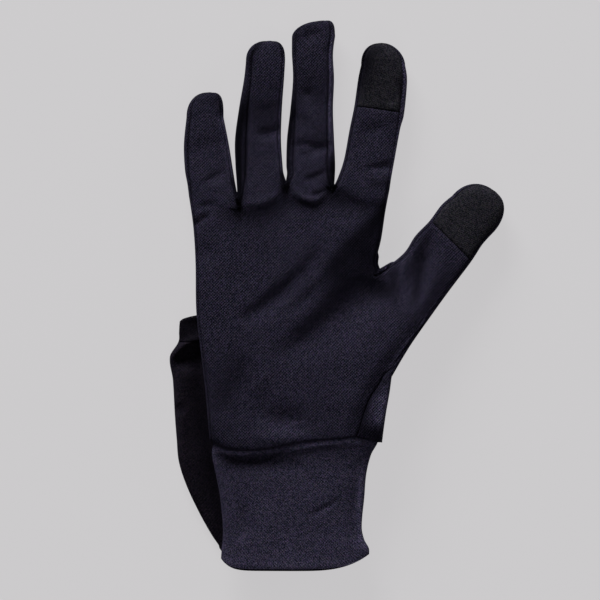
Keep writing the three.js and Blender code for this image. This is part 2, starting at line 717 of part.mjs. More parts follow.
// One ring of the hood's pocket, with its upper layer first
function hoodRing(row, inset) {
  const { across: steps } = hoodSteps;
  const halfWidth = (row.right - row.left) / 2 - inset;
  const middle = (row.right + row.left) / 2;
  const ring = [];
  for (let k = 0; k < 2 * steps; k += 1) {
    const u = -Math.cos((Math.PI * k) / steps);
    const y = row.y - row.dip * Math.pow(Math.abs(u), hoodMouth.dipPower);
    const halfHeight = hoodTop(y) / 2 - inset;
    const bulge = Math.min(1, hoodFlat * superRound(u, hoodShape)) * (k <= steps ? 1 : -1);
    ring.push(new THREE.Vector3(middle + halfWidth * u, y, hoodTop(y) / 2 + halfHeight * bulge));
  }
  return ring;
}

// Rows of the hood from the hand to its rounded end
function hoodRows() {
  const rows = hoodSections.map((section, i) => {
    const onMouth = i >= hoodMouth.rows[0] && i < hoodMouth.rows[1];
    const fade = (hoodMouth.rows[1] - i) / (hoodMouth.rows[1] - hoodMouth.rows[0]);
    return { ...section, dip: onMouth ? hoodMouth.dip * fade : 0 };
  });
  const last = rows[rows.length - 1];
  for (let i = 1; i < hoodSteps.tip; i += 1) {
    const t = Math.sin((Math.PI / 2) * (i / hoodSteps.tip));
    rows.push({
      y: mix(last.y, hoodTip.y, t),
      left: hoodTip.x + (last.left - hoodTip.x) * superRound(t, hoodTip.power),
      right: hoodTip.x + (last.right - hoodTip.x) * superRound(t, hoodTip.power),
      dip: 0,
    });
  }
  return rows;
}

// The pocket as one shell, with an outer wall and an inner one at the given depth
function hoodShell(wall) {
  const rows = hoodRows();
  const count = 2 * hoodSteps.across;
  const points = rows.flatMap((row) => hoodRing(row, 0));
  const inner = rows.flatMap((row) => hoodRing(row, wall));
  const faces = [];
  const pieceAt = (i, k) => {
    if (i >= hoodMouth.rows[1]) return 'mitten_hood';
    const onFlap = k >= flapColumns[0] && k < flapColumns[1];
    if (onFlap) return 'mitten_hood';
    return i >= hoodMouth.rows[0] ? 'hood_hem' : null;
  };
  for (let i = 0; i + 1 < rows.length; i += 1) {
    for (let k = 0; k < count; k += 1) {
      const piece = pieceAt(i, k);
      const [a, b] = [i * count + k, i * count + ((k + 1) % count)];
      const [c, d] = [a + count, b + count];
      if (piece) faces.push({ corners: [a, c, d], piece }, { corners: [a, d, b], piece });
    }
  }
  const end = hoodTop(hoodTip.y) / 2;
  points.push(new THREE.Vector3(hoodTip.x, hoodTip.y, end));
  inner.push(new THREE.Vector3(hoodTip.x, hoodTip.y + wall, end));
  const start = (rows.length - 1) * count;
  for (let k = 0; k < count; k += 1) {
    faces.push({ corners: [start + k, points.length - 1, start + ((k + 1) % count)], piece: 'mitten_hood' });
  }
  return { shell: { points, faces }, inner };
}

// Knit cloth in near-black navy, and charcoal touch tips
const knit = (color, roughness) => new THREE.MeshStandardMaterial({ color, roughness, metalness: 0 });
const gloveKnit = knit(0x171a26, 0.85);
const sideKnit = knit(0x12151f, 0.88);
const cuffKnit = knit(0x191c29, 0.86);
const hoodKnit = knit(0x141722, 0.88);
const touchKnit = knit(0x1c1e22, 0.8);

const glove = new THREE.Group();
const addPiece = (name, geometry, material) => {
  const mesh = new THREE.Mesh(geometry, material);
  mesh.name = name;
  glove.add(mesh);
};

const shell = gloveShell();
const shellInner = innerPoints(shell, cloth);
const gloveMaterials = {
  palm_panel: gloveKnit,
  back_panel: gloveKnit,
  fourchette_little_ring: sideKnit,
  fourchette_ring_middle: sideKnit,
  fourchette_middle_index: sideKnit,
  index_touch_tip: touchKnit,
  thumb_touch_tip: touchKnit,
};
for (const [name, material] of Object.entries(gloveMaterials)) {
  addPiece(name, clothPiece(shell, shellInner, name), material);
}
addPiece('cuff', cuffGeometry(), cuffKnit);
for (const [name, wall] of [['mitten_hood', cloth], ['hood_hem', hemWall]]) {
  const hood = hoodShell(wall);
  addPiece(name, clothPiece(hood.shell, hood.inner, name), hoodKnit);
}

export default glove;
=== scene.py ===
import math

import bpy
import numpy as np
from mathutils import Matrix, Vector, kdtree, noise


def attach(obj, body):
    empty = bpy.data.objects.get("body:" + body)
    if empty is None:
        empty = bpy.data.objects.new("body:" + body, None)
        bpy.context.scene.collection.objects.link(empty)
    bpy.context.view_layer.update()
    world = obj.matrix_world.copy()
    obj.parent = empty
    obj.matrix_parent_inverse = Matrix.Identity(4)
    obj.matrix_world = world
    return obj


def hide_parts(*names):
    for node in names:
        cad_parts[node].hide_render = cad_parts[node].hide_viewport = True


# Looks of a convertible knit glove for the right hand: a liner glove with touch tips and a mitten hood.
# It lies palm up with the hood folded back under the hand. +X is the thumb side, +Y runs to the
# fingertips and +Z is up. Tables are in millimetres, and every mesh is made in metres.
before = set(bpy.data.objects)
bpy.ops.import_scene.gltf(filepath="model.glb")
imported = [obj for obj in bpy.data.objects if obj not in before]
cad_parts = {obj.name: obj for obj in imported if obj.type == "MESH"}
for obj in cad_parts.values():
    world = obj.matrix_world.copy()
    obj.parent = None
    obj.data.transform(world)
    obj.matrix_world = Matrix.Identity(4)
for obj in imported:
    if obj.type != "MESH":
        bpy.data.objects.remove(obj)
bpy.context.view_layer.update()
mm = 0.001


# Small helpers

def table(columns, rows):
    names = columns.split()
    return [dict(zip(names, row)) for row in rows]


def column(rows, name):
    return np.array([row[name] for row in rows], float)


def mix(a, b, t):
    return a + (b - a) * t


def smooth(t):
    c = np.clip(t, 0, 1)
    return c * c * (3 - 2 * c)


# Height of an arch over -1 to 1. Power 2 is a half circle, and more is squarer.
def superRound(t, power):
    return np.maximum(0, 1 - np.abs(t) ** power) ** (1 / power)


# The larger of two heights, with the corner between them rounded over the given reach
def softMax(a, b, reach):
    corner = np.maximum(reach - np.abs(a - b), 0) / reach
    return np.maximum(a, b) + corner * corner * reach * 0.25


# Reads one column of a table at places along another, smoothly
def readTable(rows, key, at, name):
    order = sorted(rows, key=lambda row: row[key])
    keys, values = column(order, key), column(order, name)
    last = len(keys) - 1
    at = np.asarray(at, float)
    i = np.clip(np.searchsorted(keys, at), 1, last)
    span = keys[i] - keys[i - 1]
    t = np.clip((at - keys[i - 1]) / span, 0, 1)
    ahead = np.minimum(np.arange(last + 1) + 1, last)
    behind = np.maximum(np.arange(last + 1) - 1, 0)
    slopes = (values[ahead] - values[behind]) / (keys[ahead] - keys[behind])
    t2, t3 = t * t, t ** 3
    return ((2 * t3 - 3 * t2 + 1) * values[i - 1] + (t3 - 2 * t2 + t) * span * slopes[i - 1]
            + (3 * t2 - 2 * t3) * values[i] + (t3 - t2) * span * slopes[i])


def unit(vectors):
    return vectors / np.maximum(np.linalg.norm(vectors, axis=-1, keepdims=True), 1e-12)


# Falls from 1 to nothing past its reach
def bell(distance, reach):
    return np.exp(-(distance / reach) ** 2)


# Length from the start of each row of points to every point in it
def lengthAlong(rows):
    steps = np.linalg.norm(np.diff(rows, axis=-2), axis=-1)
    return np.concatenate([np.zeros_like(steps[..., :1]), np.cumsum(steps, axis=-1)], axis=-1)


# Sum of the vectors that belong to each point
def sumAt(owners, vectors, size):
    return np.stack([np.bincount(owners, vectors[:, axis], size) for axis in range(3)], axis=1)


# Points of a smooth curve through the given ones, at t from 0 to 1
def curveAt(points, t):
    points = np.asarray(points, float)
    last = len(points) - 1
    place = np.clip(np.atleast_1d(t), 0, 1) * last
    i = np.minimum(place.astype(int), last - 1)
    w = (place - i)[:, None]
    p0, p1 = points[np.maximum(i - 1, 0)], points[i]
    p2, p3 = points[i + 1], points[np.minimum(i + 2, last)]
    v0, v1 = (p2 - p0) / 2, (p3 - p1) / 2
    return ((2 * p1 - 2 * p2 + v0 + v1) * w ** 3 + (-3 * p1 + 3 * p2 - 2 * v0 - v1) * w ** 2
            + v0 * w + p1)


# The same curve at evenly spaced steps
def spacedAlong(points, steps, fine=400):
    samples = curveAt(points, np.linspace(0, 1, fine + 1))
    length = lengthAlong(samples)
    at = np.interp(np.linspace(0, length[-1], steps + 1), length, np.linspace(0, 1, fine + 1))
    return curveAt(points, at)


# Smooth random swells, the same on every run
def swells(xyz, size):
    return np.array([noise.noise(Vector(point)) for point in np.asarray(xyz) / size])


# The hand: outlines of the fingers, the sides of the palm and how full the glove is

hand = {
    "cloth": 1.1,  # wall
    "seamGap": 0.04,  # between two panels along a seam
    "seamDip": 0.6,  # how far both panels sink at a seam
    "seamReach": 0.7,  # how far from the seam they start to sink
    # The seams are darker: dark seam lines, with painted shade in their grooves
    "seamShade": 0.6,  # how much darker the cloth is in the seam
    "seamShadeReach": 0.49,
    "steepSeams": {"from": 0.3, "over": 0.4, "least": 0.3},  # seams sink less where the cloth is steep
    "touchDip": 0.16,  # depth, reach and shade of the touch tips' seams
    "touchReach": 0.4,
    "touchShade": 0.22,
    "sideSeam": 1.0,  # from the side edge of the hand to the nearest seam
    "loftSlope": 1.41,  # how steeply the filled glove rises from its edge
    "loftLimit": 26,  # larger values let the wide palm rise higher
    "thumbRest": 7.1,  # height of the thumb's side edge at its tip
    "thumbSettle": 1.1,  # the edge comes down to it a little before the tip
    "layerGap": 0.3,  # between the glove and what it lies on
    "swell": 0.26,  # height of the slack cloth's random swells
    "swellSize": 11,
    "crinkle": 0.07,
    "crinkleSize": 3.4,
    "backSwells": 50,  # where the back's swells are read, so that they differ from the palm's
    "deepest": 0.1,  # a fold ends at most this share of the loft below the side edge
    "deepestReach": 1.5,
}
handSteps = {
    "fingerColumns": 28,
    "thumbColumns": 46,
    "stripColumns": 10,
    "fingerRows": 84,
    "thumbRows": 70,
    "tipRows": 16,
    "aboveThumb": 36,
    "belowThumb": 40,
    "baseCrowding": 1.35,  # rows and columns lie closer together near the seams and the palm
    "seamCrowding": 0.6,
    "stripCrowding": (1.5, 1.35),
    "clothEase": 16,
}

crotch = {
    "littleRing": (-46.8, 47.2),
    "ringMiddle": (-24.0, 53.6),
    "middleIndex": (-1.4, 51.2),
    "thumb": (19.7, 10.6),
}
sideBase = {"little": (-69.4, 46.0), "index": (24.6, 49.6), "thumb": (25.4, -38.3)}  # outer sides
wristEnd = {"little": (-59.5, -67.9), "wrap": (8.9, -66.3), "index": (20.9, -68.9)}

# Each finger is read across at a few places from its base to where the tip starts to round.
# leftSeam and rightSeam run in from the edges on the palm side.
sectionColumns = "leftX leftY rightX rightY leftSeam rightSeam"
fingers = {
    "little": {
        "tip": {"x": -60.2, "y": 95.2, "leftPower": 2.2, "rightPower": 3.5},
        "sections": table(sectionColumns, [
            (*sideBase["little"], *crotch["littleRing"], 1.0, 1.0),
            (-70.2, 52.0, -47.9, 53.0, 1.2, 1.0),
            (-71.4, 59.0, -48.9, 59.0, 1.5, 1.0),
            (-71.9, 70.7, -50.8, 70.7, 1.9, 1.0),
            (-70.7, 83.4, -53.3, 83.4, 1.9, 1.0),
        ]),
    },
    "ring": {
        "tip": {"x": -32.0, "y": 119.4, "leftPower": 2.3, "rightPower": 3},
        "sections": table(sectionColumns, [
            (*crotch["littleRing"], *crotch["ringMiddle"], 3.0, 1.0),
            (-47.1, 53.0, -25.1, 57.0, 4.0, 1.0),
            (-47.7, 61.3, -25.6, 61.3, 4.8, 1.0),
            (-47.9, 73.1, -26.3, 73.1, 5.2, 1.2),
            (-46.1, 87.2, -25.9, 87.2, 4.3, 1.2),
            (-43.7, 101.3, -24.9, 101.3, 3.3, 1.0),
            (-42.8, 109.7, -24.4, 109.7, 2.6, 1.0),
        ]),
    },
    "middle": {
        "tip": {"x": -7.0, "y": 128.9, "leftPower": 2, "rightPower": 4},
        "sections": table(sectionColumns, [
            (*crotch["ringMiddle"], *crotch["middleIndex"], 2.4, 2.4),
            (-23.5, 57.0, -1.1, 55.0, 2.8, 3.2),
            (-23.8, 61.3, -0.9, 61.3, 3.0, 3.6),
            (-23.5, 73.1, -1.4, 73.1, 3.2, 3.0),
            (-21.9, 87.2, -1.9, 87.2, 2.2, 2.4),
            (-20.7, 101.3, -1.4, 101.3, 1.2, 2.4),
            (-21.2, 113.0, -1.9, 113.0, 1.4, 2.0),
            (-21.2, 120.6, -0.9, 121.5, 1.6, 1.8),
        ]),
    },
    "index": {
        "tip": {"x": 21.2, "y": 118.4, "leftPower": 2.4, "rightPower": 1.8},
        "touchFrom": 4,
        "sections": table(sectionColumns, [
            (*crotch["middleIndex"], *sideBase["index"], 1.5, 1.0),
            (0.4, 55.0, 25.4, 55.0, 1.2, 1.0),
            (3.3, 63.7, 27.0, 63.7, 1.0, 1.0),
            (5.9, 77.8, 29.6, 77.8, 1.0, 1.3),
            (8.1, 88.6, 31.5, 85.1, 1.0, 2.2),
            (9.9, 101.3, 32.9, 100.3, 1.0, 2.0),
            (11.3, 107.9, 32.0, 107.9, 1.0, 1.4),
        ]),
    },
    "thumb": {
        "tip": {"x": 74.7, "y": 48.2, "leftPower": 2.2, "rightPower": 2.2},
        "touchFrom": 4,
        "sections": table(sectionColumns, [
            (*crotch["thumb"], *sideBase["thumb"], 1.0, 4.0),
            (26.3, 15.3, 33.8, -24.2, 1.0, 1.8),
            (32.0, 20.4, 43.7, -10.1, 1.0, 1.5),
            (36.7, 27.7, 52.6, 2.1, 1.0, 1.4),
            (43.3, 34.6, 62.7, 15.4, 1.0, 1.2),
            (48.9, 42.1, 68.2, 23.7, 1.0, 1.0),
            (54.0, 46.5, 73.8, 29.8, 1.0, 1.0),
        ]),
    },
}
fingerOrder = ["little", "ring", "middle", "index"]
webBelow = {  # from each finger crotch down to the seam below it, along X and Y
    "front": np.array([(1.2, -8.4), (0.2, -6.4), (-0.8, -3.4)]),
    "back": np.array([(0, -2.3), (0, -2.3), (0, -2.3)]),
}
thumbWeb = (2.07, 1.38)  # from the thumb's crotch in to the palm's seam, along X and Y

# Sides of the hand below the fingers
littleSide = [sideBase["little"], (-67.4, 32.2), (-66.3, 15.3), (-65.9, -7.3), (-63.9, -25.6),
              (-61.6, -44.4), (-60.2, -60.9), wristEnd["little"]]
indexSide = [sideBase["index"], (22.6, 39.2), (20.7, 26.6), (18.3, 15.7), crotch["thumb"]]
wristSide = [sideBase["thumb"], (24.4, -45.8), (22.8, -54.8), (21.6, -63.2), wristEnd["index"]]
wristWrap = [(22.6, -35.5), (18.8, -42.1), (15.0, -48.2), (11.8, -56.2), wristEnd["wrap"]]
wristLine = [wristEnd["little"], (-52.2, -71.9), (-41.8, -72.6), (-30.6, -71.7), (-15.5, -68.4),
             (1.4, -67.0), wristEnd["wrap"], (15.5, -68.7), wristEnd["index"]]
# Height of the glove's side edge along the hand
sideHeights = table("y z", [(-75, 15.4), (-66, 15.4), (-50, 14.8), (-20, 13.2), (8, 11.6), (30, 10.2),
                            (50, 9.0), (70, 7.0), (90, 6.1), (132, 5.9)])

# Folds of the palm side. A row has x, y, height, left and right: a place on the fold, its height there,
# and how far it reaches to the left and right of the way it runs. Valleys have a negative height.
palmFolds = {
    # Bulges at the finger bases, with the palm sinking below them
    "littleBase": [
        (-68.5, 31, -0.4, 1.2, 2), (-66, 33.2, -1.2, 1.2, 2.2), (-61.7, 36.6, -1.2, 1.2, 2.2),
        (-57.6, 39.8, 0, 1.2, 2)],
    "littleLow": [(-66.4, 39.6, 0, 1.2, 1.8), (-61.6, 41.6, -1, 1.3, 2), (-56, 43.6, 0, 1.2, 1.8)],
    "ringBase": [
        (-45.4, 39.6, -0.5, 2, 9), (-42.4, 39.2, -0.8, 2.2, 12), (-36.6, 38.8, -1, 2.4, 14),
        (-30.6, 41, -1.1, 2.4, 14), (-26.4, 45.2, -0.9, 2.2, 10), (-24, 48.4, -0.5, 1.8, 6)],
    "ringBulge": [
        (-43, 43.6, 0.2, 2.4, 2.2), (-37, 42.6, 0.5, 2.4, 2.2), (-31, 44.6, 0.5, 2.4, 2.2),
        (-28, 49, 0, 2, 2)],
    "middleBase": [
        (-23.6, 48, -0.5, 1.6, 6), (-21.4, 45.4, -0.9, 2, 9), (-17.9, 42.4, -1.2, 2.1, 12),
        (-12.6, 40.8, -1.3, 2.1, 14), (-8, 42.6, -1.2, 2.1, 12), (-4.4, 46.4, -0.9, 2, 9),
        (-2.2, 48.8, -0.5, 1.6, 6)],
    "middleBulge": [
        (-19.6, 47.6, 0.3, 1.8, 1.6), (-16.5, 45, 0.8, 1.8, 1.5), (-10.5, 43.8, 0.9, 1.8, 1.5),
        (-6, 46.8, 0.6, 1.8, 1.6)],
    "indexBase": [
        (-2, 48.8, -0.8, 2, 6), (1.4, 46.6, -1.3, 2.4, 7), (6, 43.2, -1.6, 2.8, 8),
        (12.9, 40.6, -1.2, 3, 8), (21, 40.4, -0.6, 3, 6)],
    "crotchShade": [(-56, 38, 0, 3, 5), (-50.6, 37.8, -0.3, 3, 6), (-45.4, 38, -0.5, 3, 6)],
    # Creases of the palm
    "heartCrease": [
        (-47, -13.4, 0, 2.4, 4), (-42, -10, -1.1, 2.8, 5), (-33.4, -4.6, -1.9, 3.2, 6),
        (-25.6, 1.8, -2.1, 3.4, 6.5), (-17.6, 9, -1.7, 3.8, 6.5), (-10, 17, -1.2, 4.2, 6),
        (-5, 25.4, -0.6, 4, 5), (0, 33, 0, 3, 4)],
    "headCrease": [
        (-29, -11.4, 0, 2.4, 3), (-22, -7.4, -0.6, 2.8, 4), (-14.4, -1.6, -1, 3, 4.5),
        (-7, 5, -0.9, 3, 4.5), (-1, 12, -0.5, 3.2, 4.5), (3, 20, 0, 3, 4)],
    "thumbCrease": [
        (-31, -28.4, 0, 4, 6), (-23.4, -26.4, -1.2, 4.8, 8), (-15.4, -22.2, -2.5, 5.8, 10),
        (-7.6, -16, -3.6, 7.2, 12), (0, -9.6, -4.5, 8.8, 13), (7.4, -4, -5.2, 10.5, 13),
        (13.6, -1.2, -5.6, 12.5, 12), (19.8, 1.2, -5.6, 14, 11), (27, 7, -3.6, 14, 7),
        (33, 16, -1.2, 12, 5)],
    "webFall": [
        (26, 44, -0.5, 3, 4), (23.6, 36, -1.8, 4, 6), (22, 28, -3, 5, 8), (21, 20, -3.4, 6, 9),
        (20, 13, -2.8, 6, 9), (18.6, 7, -1.4, 6, 8)],
    # Thumb
    "thumbRidge": [
        (35, 20, 0, 3, 2.6), (32.4, 14.6, 1.1, 3, 2.6), (30, 8.4, 1.7, 3.2, 2.8),
        (27, 1.2, 1.6, 3.6, 3.2), (22, -6.4, 0.9, 4, 4), (15, -13, 0, 4, 4)],
    "thumbValley": [
        (44, 31, -0.6, 3, 4.4), (42, 24, -2.4, 3.4, 5.4), (39.8, 16, -3.8, 3.6, 5.8),
        (37.8, 8, -3.8, 3.6, 5.6), (36.2, -0.4, -2.6, 3.4, 4.8), (34.4, -8, 0, 3, 3)],
    "thumbBright": [
        (51, 24, 0.3, 3, 3), (48, 14, 0.8, 3.2, 3.2), (44, 3, 0.8, 3.4, 3.4), (38, -8, 0, 3, 3)],
    "thumbEdge": [
        (63.4, 17.4, -0.2, 0.8, 2.6), (53.4, 6.6, -0.7, 0.8, 3.4), (45.4, -3.3, -0.9, 0.8, 3.8),
        (37.4, -15, -1, 0.8, 3.8), (29.4, -25, -1, 0.8, 3.8), (22.8, -35.2, -1.2, 1, 3.8),
        (15.3, -47.4, -1.4, 1, 3.8), (9.7, -60.6, -1.3, 1, 3.8), (8.7, -66.5, -0.8, 1, 3)],
    # Slack cloth of the lower palm
    "wristPuff": [
        (-40, -67.6, 0, 4, 6), (-32, -67.4, 0.9, 4.6, 6), (-23, -67, 1.1, 4.6, 6),
        (-15.6, -66.8, 0.7, 4, 6), (-11, -67, 0, 4, 5)],
    "heelHollow": [
        (-64, -50, -0.1, 12, 9), (-54, -52, -0.5, 14, 10), (-45, -53, -0.8, 13, 9),
        (-37, -54.6, -1.2, 10, 6), (-28, -57.6, -1.3, 7, 5), (-19, -58.6, -1, 6, 5),
        (-11, -60, 0, 4, 4)],
    "heelDent": [
        (-44, -30, 0, 4, 4), (-46.4, -41, -1.1, 4.6, 4.6), (-51, -52, -0.6, 5, 5), (-53, -58, 0, 5, 5)],
    "heelRidge": [
        (-33, -34, 0, 3, 3), (-37.4, -43, 0.5, 3.6, 3.6), (-41, -54, 0.5, 3.6, 3.6),
        (-44, -62, 0, 3, 3)],
    "heelLine": [(-24, -32, 0, 3, 3), (-29, -43, -0.4, 3, 3), (-31, -52, 0, 3, 3)],
    "sideDent": [(-66, 21, -0.4, 4, 4), (-60.5, 18.4, -1, 4.6, 4.6), (-55, 15, 0, 4, 4)],
    # Knuckles
    "littleKnuckle": [
        (-65.5, 49.8, 0, 1.8, 2.6), (-61, 52.8, -0.7, 1.8, 2.8), (-56, 55.8, -0.9, 1.8, 2.8),
        (-51.5, 59, 0, 1.8, 2.4)],
    "littleMiddle": [(-69, 67.6, -0.3, 3, 4), (-62, 69.4, -0.5, 3.4, 4), (-54, 72.4, -0.3, 3, 4)],
    "littleTip": [(-58, 89.5, -0.5, 3, 3), (-54.5, 84, -0.9, 3, 3)],
    "ringKnuckle": [
        (-39, 74.4, 0, 2.2, 2.4), (-34.6, 75.2, -1.4, 2.4, 2.8), (-30.6, 75.8, -1.4, 2.4, 2.8),
        (-25.5, 78, -0.3, 2.2, 2.4)],
    "ringMiddle": [(-40, 86, 0, 3, 3), (-33, 86.6, -0.6, 3, 3.2), (-26, 89, -0.4, 3, 3.2)],
    "ringHigh": [(-38, 97.4, 0, 3.4, 3.4), (-31, 95, -0.5, 3.4, 3.4), (-26, 96, 0, 3, 3)],
    "middleLow": [(-13.5, 46.4, 0, 0.9, 1.2), (-9.5, 46.9, -0.7, 0.9, 1.3), (-5.4, 48.8, -0.2, 0.9, 1.2)],
    "middleKnuckle": [
        (-17.5, 52.2, 0, 1.5, 2), (-13.5, 53.4, -0.8, 1.7, 2.2), (-9.4, 55.2, -0.9, 1.7, 2.2),
        (-5, 57.6, -0.3, 1.5, 2)],
    "middleShort": [
        (-17.5, 64.8, -0.2, 1.3, 1.8), (-13.4, 65.6, -0.8, 1.5, 1.9), (-9, 67, -0.7, 1.4, 1.8),
        (-5, 68.6, -0.4, 1.3, 1.8)],
    "middleWave": [
        (-19.5, 69.8, -0.6, 1.8, 2.2), (-14, 69.8, -1.3, 2, 2.2), (-9.9, 69, -1.5, 2, 2.2),
        (-4.6, 69.8, -0.9, 1.8, 2.2)],
    "middleHigh": [
        (-18.6, 93.6, 0, 1.8, 2.2), (-14, 94.8, -1.1, 2, 2.4), (-9.5, 94, -0.4, 2, 2.2),
        (-6, 91, -0.6, 2, 2.4), (-3, 89, 0, 2, 2)],
    "middleSlope": [(-20, 82, -0.7, 3, 3), (-14, 78.6, -0.8, 3, 3), (-8, 77.6, 0, 3, 3)],
    "middleTip": [(-17.4, 118.6, -0.3, 2.6, 2.6), (-11, 121.4, -0.8, 2.4, 2.4), (-5.4, 123.6, 0, 2, 2)],
    "indexKnuckle": [
        (12, 58.4, 0, 1.8, 2.2), (17, 59, -0.8, 1.8, 2.4), (22, 59.8, -1.1, 1.9, 2.6),
        (26.4, 60.4, -0.9, 1.9, 2.6)],
    "indexMiddle": [(9, 74.6, 0, 3, 3), (16, 76.4, -0.8, 3, 3), (24, 79, -0.4, 3, 3)],
    "indexDent": [(26.6, 101.5, 0, 1.2, 1.4), (28.6, 98, -0.7, 1.2, 1.4), (29.4, 92, -0.5, 1.2, 1.4)],
    "indexBand": [
        (19, 118.4, 0, 3, 3), (14.6, 113, -1.4, 3.6, 3), (11.6, 106, -2.4, 4.6, 3),
        (10, 98, -2, 4.2, 3), (8.8, 90, -0.8, 3, 3), (7.4, 82, 0, 3, 3)],
    # The sides of the fingers turn under towards the left
    "ringLeft": [
        (-44.4, 44, -0.8, 3, 3), (-43, 60, -0.9, 3, 2.4), (-42.6, 78, -0.8, 3, 2.2),
        (-41.6, 96, 0, 2, 2)],
    "middleLeft": [
        (-21.6, 50, -0.7, 3, 3), (-20.6, 64, -1, 3, 3), (-20.4, 78, -1.1, 3, 3), (-20, 92, 0, 3, 3)],
}
